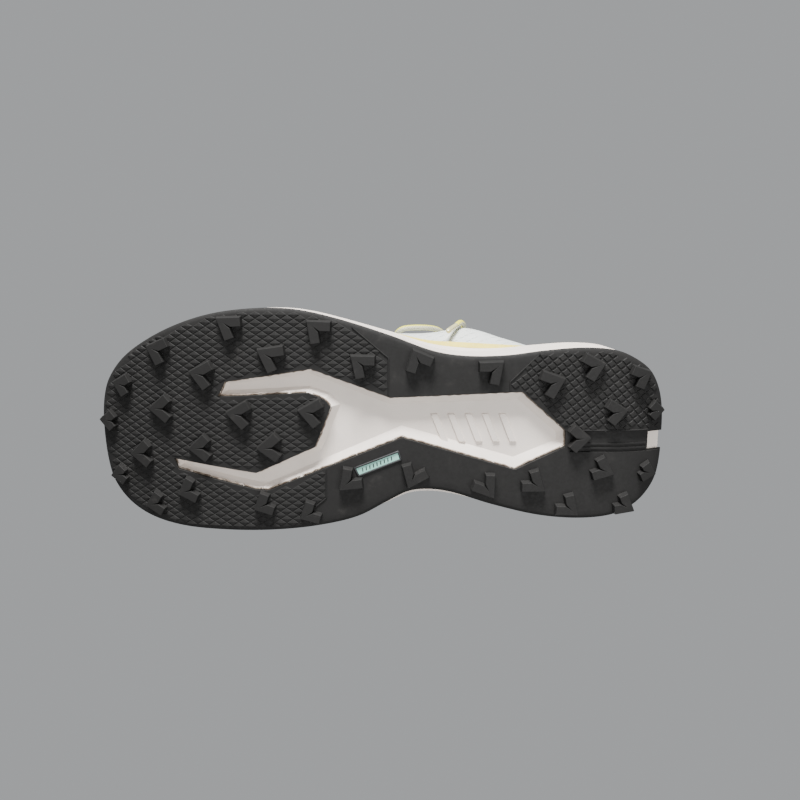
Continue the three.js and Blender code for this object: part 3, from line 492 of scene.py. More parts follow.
def prism(name, low, high, bottom, top, step=None):
    # a body between two outlines with the same points; its ends follow heights along x
    bm = bmesh.new()
    made = bmesh.ops.create_circle(bm, cap_ends=True, segments=len(low), radius=1)
    for vert, (x, y) in zip(made["verts"], low):
        vert.co = (x, y, 0)
    lower = {tuple(round(c, 4) for c in v.co[:2]): i for i, v in enumerate(made["verts"])}
    grown = bmesh.ops.extrude_face_region(bm, geom=bm.faces[:])
    for item in grown["geom"]:
        if isinstance(item, bmesh.types.BMVert):
            x, y = high[lower[tuple(round(c, 4) for c in item.co[:2])]]
            item.co = (x, y, 1)
    bmesh.ops.triangulate(bm, faces=bm.faces[:])
    if step:
        xs = [v.co.x for v in bm.verts]
        for x in np.arange(min(xs) + step / 2, max(xs), step):
            bmesh.ops.bisect_plane(bm, geom=bm.verts[:] + bm.edges[:] + bm.faces[:], plane_co=(x, 0, 0),
                                   plane_no=(1, 0, 0))
    for vert in bm.verts:
        x = vert.co.x
        z = float(bottom(x)) + vert.co.z * float(top(x) - bottom(x))
        vert.co = toRow([x, vert.co.y, z])
    bmesh.ops.recalc_face_normals(bm, faces=bm.faces[:])
    return newPiece(name, bm)


def tubePiece(name, points, radius, sides=12, ends=True):
    # a cord along a smooth path; cloth coordinates run along it and around it in metres
    path = smoothPath(points) if len(points) < 60 else np.array(points, float)
    steps = np.linalg.norm(np.diff(path, axis=0), axis=1)
    along = np.concatenate([[0], np.cumsum(steps)])
    ways = unit(np.gradient(path, axis=0))
    sidesOf = [Vector(ways[0]).orthogonal().normalized()]
    for way in ways[1:]:
        last = sidesOf[-1]
        sidesOf.append((last - Vector(way) * last.dot(Vector(way))).normalized())
    first = np.array(sidesOf)
    second = np.cross(ways, first)
    count = len(path) - 1
    size = np.full(count + 1, float(radius))
    if ends:
        # round ends
        reach = np.clip(np.minimum(along, along[-1] - along) / radius, 0, 1)
        size = size * np.sqrt(np.clip(1 - (1 - reach) ** 2, 0.02, 1))

    def place(u, v):
        i = np.round(u * count).astype(int)
        turn = v * 2 * math.pi
        ring = first[i] * np.cos(turn)[:, None] + second[i] * np.sin(turn)[:, None]
        cloth = np.column_stack([along[i], v * 2 * math.pi * np.max(size)]) * mm
        return path[i] + ring * size[i][:, None], cloth

    piece = gridPiece(name, count, sides, place, weld=True)
    smoothShade(piece, 60)
    return piece


def smoothPath(points, step=0.7):
    # a centripetal curve through the points, with even steps
    p = np.array(points, float)
    p = np.concatenate([[2 * p[0] - p[1]], p, [2 * p[-1] - p[-2]]])
    fine = []
    for a, b, c, d in zip(p[:-3], p[1:-2], p[2:-1], p[3:]):
        k = np.maximum(np.sqrt([np.linalg.norm(b - a), np.linalg.norm(c - b), np.linalg.norm(d - c)]), 1e-3)
        mb = (c - b) + k[1] * ((b - a) / k[0] - (c - a) / (k[0] + k[1]))
        mc = (c - b) + k[1] * ((d - c) / k[2] - (d - b) / (k[1] + k[2]))
        t = spread(25)[:, None]
        fine.append(b + t * (mb + t * (3 * (c - b) - 2 * mb - mc + t * (2 * (b - c) + mb + mc))))
    fine = np.concatenate(fine)
    along = np.concatenate([[0], np.cumsum(np.linalg.norm(np.diff(fine, axis=0), axis=1))])
    even = np.linspace(0, along[-1], max(8, int(along[-1] / step)))
    return np.column_stack([np.interp(even, along, fine[:, i]) for i in range(3)])


def inside(points, shape):
    # which points lie in a closed outline
    points = np.atleast_2d(points)
    a, b = np.array(shape, float), np.roll(np.array(shape, float), -1, axis=0)
    y = points[:, 1][:, None]
    spans = (a[:, 1] > y) != (b[:, 1] > y)
    rise = np.where(a[:, 1] == b[:, 1], 1e-9, b[:, 1] - a[:, 1])
    cross = a[:, 0] + (y - a[:, 1]) * (b[:, 0] - a[:, 0]) / rise
    return (np.sum(spans & (points[:, 0][:, None] < cross), axis=1) % 2) == 1


# materials
class Shade:
    # one output of a node, with arithmetic
    def __init__(self, tree, socket):
        self.tree = tree
        self.socket = socket

    def math(self, operation, *others):
        made = self.tree.nodes.new("ShaderNodeMath")
        made.operation = operation
        for slot, value in zip(made.inputs, others):
            feed(self.tree, slot, value)
        return Shade(self.tree, made.outputs[0])

    def __add__(self, other):
        return self.math("ADD", self, other)

    def __sub__(self, other):
        return self.math("SUBTRACT", self, other)

    def __mul__(self, other):
        return self.math("MULTIPLY", self, other)

    def __rsub__(self, other):
        return self.math("SUBTRACT", other, self)

    __radd__ = __add__
    __rmul__ = __mul__

    def larger(self, other):
        return self.math("MAXIMUM", self, other)

    def repeat(self, size):
        return self.math("MODULO", self.math("MODULO", self, size) + size, size)

    def absolute(self):
        return self.math("ABSOLUTE", self)

    def wave(self, period):
        return self.math("SINE", self * (2 * math.pi / period))


def feed(tree, slot, value):
    if isinstance(value, Shade):
        tree.links.new(value.socket, slot)
    elif value is not None:
        slot.default_value = value


class Paint:
    # a material whose shader is built up node by node
    def __init__(self, name, **constants):
        self.material = bpy.data.materials.new(name)
        self.material.use_nodes = True
        self.tree = self.material.node_tree
        self.shader = next(n for n in self.tree.nodes if n.type == "BSDF_PRINCIPLED")
        for key, value in constants.items():
            self.shader.inputs[key.replace("_", " ")].default_value = value

    def node(self, kind, settings=None, output=0, **values):
        made = self.tree.nodes.new("ShaderNode" + kind)
        for key, value in (settings or {}).items():
            setattr(made, key, value)
        for key, value in values.items():
            feed(self.tree, made.inputs[key.replace("_", " ")], value)
        return Shade(self.tree, made.outputs[output])

    def place(self):
        return self.node("TexCoord", output="Object")

    def cloth(self):
        return self.node("UVMap", {"uv_map": "cloth"})

    def parts(self, vector):
        split = self.node("SeparateXYZ", Vector=vector)
        return [Shade(self.tree, s) for s in split.socket.node.outputs]

    def noise(self, size, detail=3, roughness=0.55):
        return self.node("TexNoise", Vector=self.place(), Scale=1 / (size * mm), Detail=detail,
                         Roughness=roughness)

    def fade(self, value, low, high, start=0.0, end=1.0):
        return self.node("MapRange", {"interpolation_type": "SMOOTHSTEP"}, Value=value, From_Min=low,
                         From_Max=high, To_Min=start, To_Max=end)

    def mix(self, factor, a, b):
        made = self.tree.nodes.new("ShaderNodeMix")
        made.data_type = "RGBA"
        feed(self.tree, made.inputs[0], factor)
        feed(self.tree, made.inputs[6], a if isinstance(a, Shade) else (*a, 1))
        feed(self.tree, made.inputs[7], b if isinstance(b, Shade) else (*b, 1))
        return Shade(self.tree, made.outputs[2])

    def bump(self, height, distance, strength):
        return self.node("Bump", Height=height, Distance=distance * mm, Strength=strength)

    def to(self, name, value):
        feed(self.tree, self.shader.inputs[name], value)
        return self


colours = {
    "rubber": (0.0125, 0.012, 0.0115), "rubberWorn": (0.034, 0.032, 0.03), "foam": (0.84, 0.755, 0.68),
    "foamShade": (0.70, 0.61, 0.52), "glue": (0.12, 0.085, 0.06), "mesh": (0.80, 0.83, 0.79),
    "dash": (0.22, 0.24, 0.25), "film": (0.86, 0.70, 0.13), "overlay": (0.70, 0.72, 0.70),
    "lace": (0.76, 0.71, 0.06), "laceCore": (0.50, 0.50, 0.46), "mint": (0.27, 0.56, 0.47),
    "lining": (0.30, 0.32, 0.33), "sockliner": (0.42, 0.44, 0.45), "board": (0.72, 0.70, 0.64),
    "tab": (0.78, 0.67, 0.12), "black": (0.015, 0.016, 0.017),
}


def tinted(colour, by):
    return tuple(c * by for c in colour)


def rubberPaint():
    paint = Paint("charcoalRubber", IOR=1.4, Specular_IOR_Level=0.35)
    fine = paint.noise(0.5, 4)
    dust = paint.noise(9, 6, 0.62)
    speck = paint.noise(1.6, 5, 0.7)
    worn = paint.fade(dust * 0.6 + speck * 0.4, 0.52, 0.72)
    paint.to("Base Color", paint.mix(worn * 0.55, colours["rubber"], colours["rubberWorn"]))
    paint.to("Roughness", paint.fade(speck, 0.3, 0.7, 0.62, 0.82))
    return paint.to("Normal", paint.bump(fine * 0.5 + speck * 0.5, 0.12, 0.6)).material


def foamPaint():
    paint = Paint("mouldedFoam", IOR=1.46, Roughness=0.58, Subsurface_Weight=0.0)
    skin = paint.noise(0.42, 5, 0.6)
    broad = paint.noise(14, 4, 0.55)
    stain = paint.fade(paint.noise(5, 6, 0.65), 0.56, 0.78)
    base = paint.mix(paint.fade(broad, 0.35, 0.7), colours["foam"], tinted(colours["foam"], 0.95))
    paint.to("Base Color", paint.mix(stain * 0.3, base, colours["foamShade"]))
    return paint.to("Normal", paint.bump(skin, 0.16, 0.55)).material


def gluePaint():
    paint = Paint("driedGlue", Roughness=0.5)
    blot = paint.noise(1.4, 5, 0.65)
    paint.to("Base Color", paint.mix(paint.fade(blot, 0.42, 0.66), colours["glue"], (0.30, 0.245, 0.19)))
    paint.to("Alpha", paint.fade(paint.noise(3.4, 4, 0.6), 0.36, 0.5))
    return paint.to("Normal", paint.bump(blot, 0.2, 0.7)).material


def knitPaint(name, base, dash=None, cell=1.15, dashed=0.0):
    # rows of small loops, with painted shade in the hollows between them; some of them carry a darker yarn
    paint = Paint(name, Roughness=0.82, Sheen_Weight=0.15)
    u, v, _ = paint.parts(paint.cloth())
    lean = u + v * 0.45
    rib = lean.wave(cell * mm).absolute()
    row = (v + u * 0.12).wave(cell * 1.4 * mm).absolute()
    loops = rib * 0.6 + row * 0.4
    fuzz = paint.noise(0.35, 3)
    tone = paint.mix(paint.fade(paint.noise(8, 3), 0.3, 0.7), base, tinted(base, 0.93))
    # painted shade: the hollows between the loops, where the bump is lowest, are darkened towards 0.45 of the
    # base
    tone = paint.mix(paint.fade(loops, 0.06, 0.45, 0.42, 0), tone, tinted(base, 0.45))
    if dashed:
        lane = (u * 0.86 + v * 0.5).repeat(5.4 * mm)
        place = (v * 0.86 - u * 0.5 + lane * 3.1).repeat(4.2 * mm)
        line = paint.fade((lane - 2.7 * mm).absolute(), 0.35 * mm, 0.6 * mm, 1, 0)
        run = paint.fade((place - 2.1 * mm).absolute(), 0.85 * mm, 1.1 * mm, 1, 0)
        some = paint.fade(paint.noise(6, 2), 0.42, 0.52)
        tone = paint.mix(line * run * some * dashed, tone, dash)
    paint.to("Base Color", tone)
    return paint.to("Normal", paint.bump(loops * 0.85 + fuzz * 0.15, 0.35, 0.75)).material


def filmPaint(name, base, under=None):
    # a thin printed film over a weave; the cloth below shows through in specks
    paint = Paint(name, Roughness=0.5, Sheen_Weight=0.05)
    u, v, _ = paint.parts(paint.cloth())
    weave = u.wave(1.1 * mm).absolute() * 0.5 + v.wave(1.1 * mm).absolute() * 0.5
    tone = paint.mix(paint.fade(paint.noise(7, 4), 0.35, 0.7), base, tinted(base, 0.9))
    if under:
        tone = paint.mix(paint.fade(paint.noise(1.1, 4), 0.55, 0.75, 0, 0.35), tone, under)
    paint.to("Base Color", tone)
    return paint.to("Normal", paint.bump(weave * 0.6 + paint.noise(0.5, 4) * 0.4, 0.16, 0.5)).material


def braidPaint(name, base, core, around):
    # a braided cord: diagonal yarns both ways with painted shade in the grooves between them, a greyer band
    # along one side
    paint = Paint(name, Roughness=0.72, Sheen_Weight=0.1)
    u, v, _ = paint.parts(paint.cloth())
    pitch = around / 6
    one = (u * 1.1 + v).wave(pitch * 2 * mm).absolute()
    two = (u * 1.1 - v).wave(pitch * 2 * mm).absolute()
    yarn = one.larger(two)
    side = paint.fade((v - around * 0.5 * mm).absolute(), around * 0.1 * mm, around * 0.2 * mm, 1, 0)
    tone = paint.mix(side * 0.9, base, core)
    # painted shade: the grooves between the yarns, where the bump is lowest, are darkened towards 0.4 of the
    # base
    tone = paint.mix(paint.fade(yarn, 0.3, 0.8, 0.55, 0), tone, tinted(base, 0.4))
    paint.to("Base Color", tone)
    return paint.to("Normal", paint.bump(yarn, 0.32, 0.8)).material


def weavePaint(name, base, size=0.9):
    paint = Paint(name, Roughness=0.75, Sheen_Weight=0.1)
    x, y, z = paint.parts(paint.place())
    across = (x + z * 0.6).wave(size * 2 * mm)
    along = (y + z * 0.4).wave(size * 2 * mm)
    check = across * along
    # painted shade: the sunken half of the weave, where the bump is low, is darkened to 0.8 of the base
    tone = paint.mix(paint.fade(check, -0.6, 0.6), tinted(base, 0.8), base)
    tone = paint.mix(paint.fade(paint.noise(6, 4), 0.4, 0.75, 0, 0.3), tone, tinted(base, 0.7))
    paint.to("Base Color", tone)
    return paint.to("Normal", paint.bump(check * 0.8 + paint.noise(0.3, 3) * 0.2, 0.25, 0.7)).material


def plainPaint(name, base, rough=0.5, grain=0.6, depth=0.08, **constants):
    paint = Paint(name, Roughness=rough, **constants)
    tone = paint.mix(paint.fade(paint.noise(6, 5), 0.35, 0.72), base, tinted(base, 0.88))
    paint.to("Base Color", tone)
    return paint.to("Normal", paint.bump(paint.noise(grain, 4), depth, 0.6)).material


paints = {
    "rubber": rubberPaint(), "foam": foamPaint(), "glue": gluePaint(),
    "mesh": knitPaint("knitUpper", colours["mesh"], colours["dash"], dashed=0.85),
    "overlay": filmPaint("eyeletOverlay", colours["overlay"]),
    "film": filmPaint("printedFilm", colours["film"], under=colours["mesh"]),
    "tape": filmPaint("heelTape", tinted(colours["overlay"], 0.9)),
    "bumper": plainPaint("bumperRubber", (0.055, 0.058, 0.06), 0.6, 0.7, 0.12),
    "lace": braidPaint("laceBraid", colours["lace"], colours["laceCore"], 10.05),
    "loop": weavePaint("webbing", tinted(colours["overlay"], 1.05), 0.45),
    "mint": plainPaint("mintRubber", colours["mint"], 0.45, 0.5, 0.07),
    "ink": plainPaint("darkInk", colours["black"], 0.5),
    "lining": knitPaint("collarLining", colours["lining"], cell=1.5),
    "sockliner": weavePaint("socklinerCloth", colours["sockliner"], 0.6),
    "insole": plainPaint("insoleFoam", (0.20, 0.42, 0.52), 0.8, 0.5, 0.2),
    "board": weavePaint("strobelBoard", colours["board"], 0.7),
    "stiffener": plainPaint("stiffener", (0.5, 0.48, 0.42), 0.7),
    "tongue": knitPaint("tongueMesh", tinted(colours["mesh"], 0.92), colours["dash"], cell=1.3),
    "thread": plainPaint("stitchThread", (0.62, 0.62, 0.58), 0.7, 0.3, 0.1),
    "tab": weavePaint("pullTabWebbing", colours["tab"], 0.5),
    "aglet": plainPaint("agletPlastic", (0.62, 0.58, 0.30), 0.25, 0.8, 0.03, Coat_Weight=0.4),
}
print("materials made")

# outsole
tread = {
    "armLength": 12.4, "armWidth": 4.8, "draft": 0.7, "slit": 2.4, "root": 2, "channelDepth": 1.3,
    "diamondHeight": 0.5, "toeDiamond": (6.5, 4.2), "heelDiamond": (5.1, 4.3),
}
windowOutline = np.array([
    [234.4, 20], [230.3, 28], [185.6, 35], [144.6, 20], [136.8, 20.3], [76, 23], [52.8, 2.2], [52.8, -6.4],
    [78.8, -19], [138.4, -1.6], [209.4, -30.6], [215.8, -30.2], [258, -20.2], [260, -14.2], [215.4, -20.7],
    [184, -6.4], [175.6, 14.6], [178.6, 18.6], [187, 22.2]])
# apex x and y, heading in degrees, angle between the arms, share of the arm length
lugs = [
    [301.5, 5, 4, 88, 0.68], [292, 26, 14, 88, 0.74], [297, -26, -8, 85, 0.68], [271, 46, 20, 88, 0.9],
    [284, -12.5, -3, 83, 0.92], [271.7, 13, -1, 81, 0.95], [277, -41, -13, 87, 0.8],
    [248.2, 33.5, 13, 82, 0.97], [250.6, -7.6, -3, 82, 0.92], [258, -33, -19, 87, 0.85],
    [232.5, 61.5, 34, 73, 1], [229.7, 12.5, 9, 78, 1], [212.2, 45.4, 29, 75, 1.08], [214.2, -6.5, -2, 78, 1],
    [216.5, -40, -26, 88, 0.8], [192.3, 13.8, 11, 80, 1], [186.6, 60.1, 42, 79, 0.97],
    [192.3, -45, -28, 88, 0.82], [164.7, 42.4, 40, 77, 1], [171.4, -29.3, -43, 73, 1],
    [132.8, 45.5, 65, 85, 0.93], [135.2, -28.2, -67, 76, 1], [86.6, 39.3, 139, 78, 1],
    [89.9, -33.7, -124, 71, 1.03], [54.8, 30.5, 159, 81, 0.98], [63.2, -29.8, -144, 73, 0.98],
    [34.8, 38.3, 164, 88, 0.88], [40.5, -1, 177, 88, 0.88], [45.2, -43, -141, 75, 0.95],
    [22.1, 13.8, 170, 84, 0.84], [27.5, -20.5, -158, 79, 0.88], [10.3, 33.7, 156, 88, 0.8],
    [1.2, 13, 178, 87, 0.62], [4, -21.6, -164, 85, 0.66], [15.3, -41, -150, 75, 0.85]]
channelOutline = [[-8, -9.4], [50.5, -9.2], [50.5, 2.2], [-8, 1.4]]
notchOutline = [[-8, -8.8], [8.6, -8.8], [8.6, 0.9], [-8, 0.9]]
badgeOutline = np.array([[161.2, -22.2], [163.4, -17.9], [140.4, -8.8], [139, -13.2]])
soleEdge = sole(spread(361)[:-1], 1.2)
# how far each corner of the window's floor stands in from its edge
wallReach = np.array([2.4, 2.4, 3.4, 4.6, 4.8, 5.0, 4.4, 4.0, 5.2, 5.0, 3.0, 3.0, 2.2, 2.2, 2.6, 3.8, 4.4,
                      3.6, 2.8])


def chevron(row):
    x, y, heading, opening, share = row
    half, turn = math.radians(opening / 2), math.radians(heading)
    c, s, arm, width = math.cos(half), math.sin(half), share * tread["armLength"], tread["armWidth"]
    inner = width / s
    one = [[-arm * c, arm * s], [-arm * c - width * s, arm * s - width * c], [-inner - 0.5, 0.35]]
    other = [[a, -b] for a, b in one[::-1]]
    shape = np.array([[0, 0], *one, [tread["slit"] - inner, 0], *other])
    turned = np.array([[math.cos(turn), math.sin(turn)], [-math.sin(turn), math.cos(turn)]])
    return shape @ turned + [x, y]


def rubberSheet():
    rows = [innerRow(share, 5, rubberFace) for share in (1, 0.75, 0.5, 0.25)]
    edge = [(5, 0.0), (2.2, 0.08), (0.8, 0.4), (0.2, 0.9), (0, 1.3), (0.1, 1.9), (0.3, 2.5)]
    rows += [edgeRow(inset, lambda x, rise=rise: rubberFace(x) + rise) for inset, rise in edge]

    def back(x):
        return rubberFace(x) + pattern["rubber"]

    rows += [innerRow(share, 0.3, back) for share in (0.25, 0.5, 0.75, 1)]
    return shoeBody("rubberSheet", rows)


def makeOutsole():
    sheet = rubberSheet()

    def low(x):
        return rubberFace(x) - 9

    def high(x):
        return rubberFace(x) + 12

    carve(sheet, prism("cut", windowOutline, windowOutline, low, high))
    carve(sheet, prism("cut", notchOutline, notchOutline, low, high))

    def depth(x):
        return rubberFace(x) + tread["channelDepth"]

    carve(sheet, prism("cut", channelOutline, channelOutline, low, depth, step=3))
    seat = offsetOutline(badgeOutline, 0.3)
    carve(sheet, prism("cut", seat, seat, low, lambda x: rubberFace(x) + 1.2))
    bevelPiece(sheet, 0.35, 2, 50)
    smoothShade(sheet, 32)
    made = []
    for row in lugs:
        tip = chevron(row)
        piece = prism("lug", tip, offsetOutline(tip, tread["draft"]), rocker,
                      lambda x: rubberFace(x) + tread["root"])
        made.append(piece)
    tips = joinPieces(made, "lugs")
    bevelPiece(tips, 0.32, 2, 40)
    smoothShade(tips, 30)
    ribs = []
    for y in (-7.2, -4.9):
        rib = [[9.6, y - 0.45], [50, y - 0.45], [50, y + 0.45], [9.6, y + 0.45]]
        ribs.append(prism("rib", rib, rib, lambda x: depth(x) - 0.7, lambda x: depth(x) + 0.6, step=4))
    ribPiece = joinPieces(ribs, "channelRibs")
    bevelPiece(ribPiece, 0.2, 2, 50)
    settle(sheet, "rubber", paints["rubber"], "outsole")
    for piece in (tips, ribPiece):
        settle(piece, "rubber", paints["rubber"])
    return sheet


def zoneTest(shape):
    grown = offsetOutline(windowOutline, 0.9)
    badge = offsetOutline(badgeOutline, 1.4)

    def test(points):
        found = inside(points, shape) & inside(points, soleEdge) & ~inside(points, grown)
        return found & ~inside(points, badge)

    return test


def diamondField(bm, test, origin, a, b, half, corners, top, shoulder):
    # raised rhombi on a lattice, each with its corners drawn in where they would leave the zone
    a, b, origin = np.array(a), np.array(b), np.array(origin)
    centres = [origin + i * a + j * b for i in range(-60, 61) for j in range(-60, 61)]
    centres = [c for c in np.array(centres)[test(np.array(centres))]]
    reach = np.array(corners) * np.array(half)
    for centre in centres:
        points = centre + reach
        for _ in range(7):
            out = ~test(points)
            points[out] = centre + (points[out] - centre) * 0.82
        if np.min(np.linalg.norm(points - centre, axis=1) / np.linalg.norm(reach, axis=1)) < 0.45:
            continue
        made = bmesh.ops.create_cone(bm, cap_ends=True, cap_tris=True, segments=4, radius1=1, radius2=0.5,
                                     depth=1)
        for vert in made["verts"]:
            i = int(round(math.degrees(math.atan2(vert.co.y, vert.co.x)) / 90)) % 4
            size = math.hypot(vert.co.x, vert.co.y)
            raised = vert.co.z > 0
            share = 0 if size < 0.1 else top if raised else 1
            x, y = centre + (points[i] - centre) * share
            height = tread["diamondHeight"] * (1 if share == 0 else shoulder)
            z = rubberFace(x) + (-height if raised else 0.1)
            vert.co = toRow([x, y, float(z)])


def makeDiamonds():
    bm = bmesh.new()
    toeZone = [[163.8, 80], [163.8, 56.6], [145.5, 40.7], [145.6, 21.4], [150, 15], [178.5, 0],
               [178.5, -21.2], [178.7, -34.5], [185.8, -40.6], [185.8, -80], [330, -80], [330, 80]]
    heelZone = [[67.9, 80], [67.9, 43.8], [82.7, 28.2], [82.6, 20], [50.5, 2.4], [-20, 2.4], [-20, 80]]
    fx, fy = tread["toeDiamond"]
    square = [[1, 0], [0, 1], [-1, 0], [0, -1]]
    diamondField(bm, zoneTest(toeZone), (200, 0), (fx, 0), (fx / 2, fy / 2), (fx * 0.485, fy * 0.475), square,
                 0.8, 0.45)
    turn = math.radians(7)
    leaned = [[math.cos(turn), math.sin(turn)], [-0.12, 1], [-math.cos(turn), -math.sin(turn)], [0.12, -1]]
    hx, hy = tread["heelDiamond"]
    diamondField(bm, zoneTest(heelZone), (30, 20), (5.0, 0.65), (-2.7, 2.15), (hx * 0.475, hy * 0.475),
                 leaned, 0.72, 0.9)
    piece = newPiece("diamondTexture", bm)
    piece.data.shade_flat()
    print("diamonds", len(piece.data.polygons) // 5)
    settle(piece, "rubber", paints["rubber"])


def makeSeams():
    # thin ridges where the textured zones end, and dried glue along the edge of the window
    lines = [[[163.8, 56.6], [163.8, 56.4], [145.5, 40.7], [145.6, 21.4]],
             [[178.5, -19.2], [178.7, -34.5], [185.8, -40.6], [185.8, -50]],
             [[67.9, 43], [67.9, 42.8], [82.7, 28.2], [82.6, 23.6]], [[8.8, 2.4], [50.5, 2.6]]]
    made = []
    for line in lines:
        pieces = [np.linspace(p, q, 14)[:-1] for p, q in zip(line[:-1], line[1:])]
        dense = np.concatenate(pieces + [[line[-1]]])
        points = np.column_stack([dense, rubberFace(dense[:, 0]) - 0.1])
        made.append(tubePiece("ridge", points, 0.42, 8, ends=False))
    settle(joinPieces(made, "zoneRidges"), "rubber", paints["rubber"])
    closed = np.concatenate([np.linspace(p, q, max(4, int(np.linalg.norm(q - p) / 0.8)))[:-1]
                             for p, q in zip(windowOutline, np.roll(windowOutline, -1, axis=0))])
    wander = np.array([noise.noise(Vector((x * 0.35, y * 0.35, 3.0))) for x, y in closed])
    way = unit(np.roll(closed, -1, axis=0) - np.roll(closed, 1, axis=0))
    inward = np.column_stack([-way[:, 1], way[:, 0]])
    closed = closed + inward * (0.25 + 0.4 * wander)[:, None]
    points = np.column_stack([closed, foamFace(closed[:, 0]) - 0.1])
    points = np.concatenate([points, points[:1]])
    glue = tubePiece("glueLine", points, 0.5, 8, ends=False)
    settle(glue, "rubber", paints["glue"])


makeOutsole()
makeDiamonds()
makeSeams()
print("outsole made")

# midsole
foam = {"pocketDepth": 3.4, "barCount": 5, "barPitch": 9, "barHeight": 1.0, "softness": 0.45}


def makeMidsole():
    def wall(share):
        return lambda x: foamFace(x) + share * (rim(x) - foamFace(x))

    def inset(value, share):
        return lambda w: value - share * flare(w)

    rows = [innerRow(share, inset(1.4, 0.9), foamFace) for share in (1, 0.75, 0.5, 0.25)]
    profile = [(1.4, 0.9, 0), (1.0, 0.9, 0.05), (0.8, 0.9, 0.12), (0.8, 0.9, 0.25), (1.0, 0.9, 0.4),
               (1.3, 0.95, 0.54), (1.4, 0.96, 0.57), (1.9, 0.96, 0.58), (1.95, 0.97, 0.6), (1.55, 0.98, 0.61),
               (1.65, 1, 0.68), (1.8, 1, 0.75), (2.0, 1, 0.9)]
    rows += [edgeRow(inset(i, f), wall(share)) for i, f, share in profile]
    rows += [edgeRow(lambda w: rimInner(w) - pattern["rimWidth"], rim)]
    rows += [edgeRow(lambda w: rimInner(w) - 0.6, lambda x: rim(x) + 0.15)]
    rows += [edgeRow(rimInner, rim), edgeRow(inset(4.6, 1), footbed)]
    rows += [innerRow(share, inset(4.6, 1), footbed) for share in (0.25, 0.5, 0.75, 1)]
    body = shoeBody("midsoleFoam", rows)
    deep = foam["pocketDepth"]
    low = offsetOutline(windowOutline, wallReach * 1.2 / deep)
    high = offsetOutline(windowOutline, -wallReach)
    carve(body, prism("cut", low, high, lambda x: foamFace(x) - 1.2, lambda x: foamFace(x) + deep, step=5))
    bevelPiece(body, foam["softness"], 3, 20)
    smoothShade(body, 18)
    settle(body, "foam", paints["foam"], "midsole")
    bars = []
    for i in range(foam["barCount"]):
        x = 78 + foam["barPitch"] * i
        bar = np.array([[x, -5], [x + 3.2, -5], [x + 9.2, 10], [x + 6, 10]])
        bars.append(prism("bar", bar, offsetOutline(bar, 0.5),
                          lambda x: foamFace(x) + deep - foam["barHeight"],
                          lambda x: foamFace(x) + deep + 0.5))
    relief = joinPieces(bars, "windowBars")
    bevelPiece(relief, 0.35, 3, 30)
    smoothShade(relief, 50)
    settle(relief, "foam", paints["foam"])


badge = {"tickCount": 9, "tickPitch": 2.05, "firstTick": 3.4, "border": 0.6, "proud": 0.2}


def makeBadge():
    # a mint bar with a dark border and a row of plain ticks
    face = offsetOutline(badgeOutline, -0.3)
    bar = prism("soleBadge", face, badgeOutline, lambda x: rubberFace(x) - badge["proud"],
                lambda x: rubberFace(x) + 0.9)
    bevelPiece(bar, 0.2, 2, 40)
    settle(bar, "mint", paints["mint"], "sole_badge")
    border = tubePiece("badgeBorder", np.column_stack([
        np.concatenate([np.linspace(p, q, 16)[:-1] for p, q in
                        zip(badgeOutline, np.roll(badgeOutline, -1, axis=0))] + [badgeOutline[:1]]),
        np.full(61, 3.8)]), badge["border"], 8, ends=False)
    along = badgeOutline[3] - badgeOutline[0]
    across = unit(badgeOutline[1] - badgeOutline[0])
    start = (badgeOutline[0] + badgeOutline[1]) / 2
    way = unit(along)
    ticks = []
    for i in range(badge["tickCount"]):
        middle = start + way * (badge["firstTick"] + badge["tickPitch"] * i)
        lean = across * 0.9 + way * 0.35
        tick = np.array([middle - lean - way * 0.3, middle - lean + way * 0.3, middle + lean + way * 0.3,
                         middle + lean - way * 0.3])
        one, two = tick[1] - tick[0], tick[2] - tick[1]
        if one[0] * two[1] - one[1] * two[0] < 0:
            tick = tick[::-1]
        ticks.append(prism("tick", tick, tick, lambda x: rubberFace(x) - 0.34, lambda x: rubberFace(x) + 0.2))
    settle(joinPieces([border] + ticks, "badgeMarks"), "mint", paints["ink"])


makeMidsole()
makeBadge()
print("midsole made")


# board and insole
insole = {"lift": 2.0, "thickness": 4.5, "clothLift": 4.8, "clothThickness": 0.7, "inset": 12}


def inBoard(extra):
    return lambda w: insole["inset"] + extra - 0.6 * flare(w) + 3 * ease(0.72, 0.9, placeOf(w))


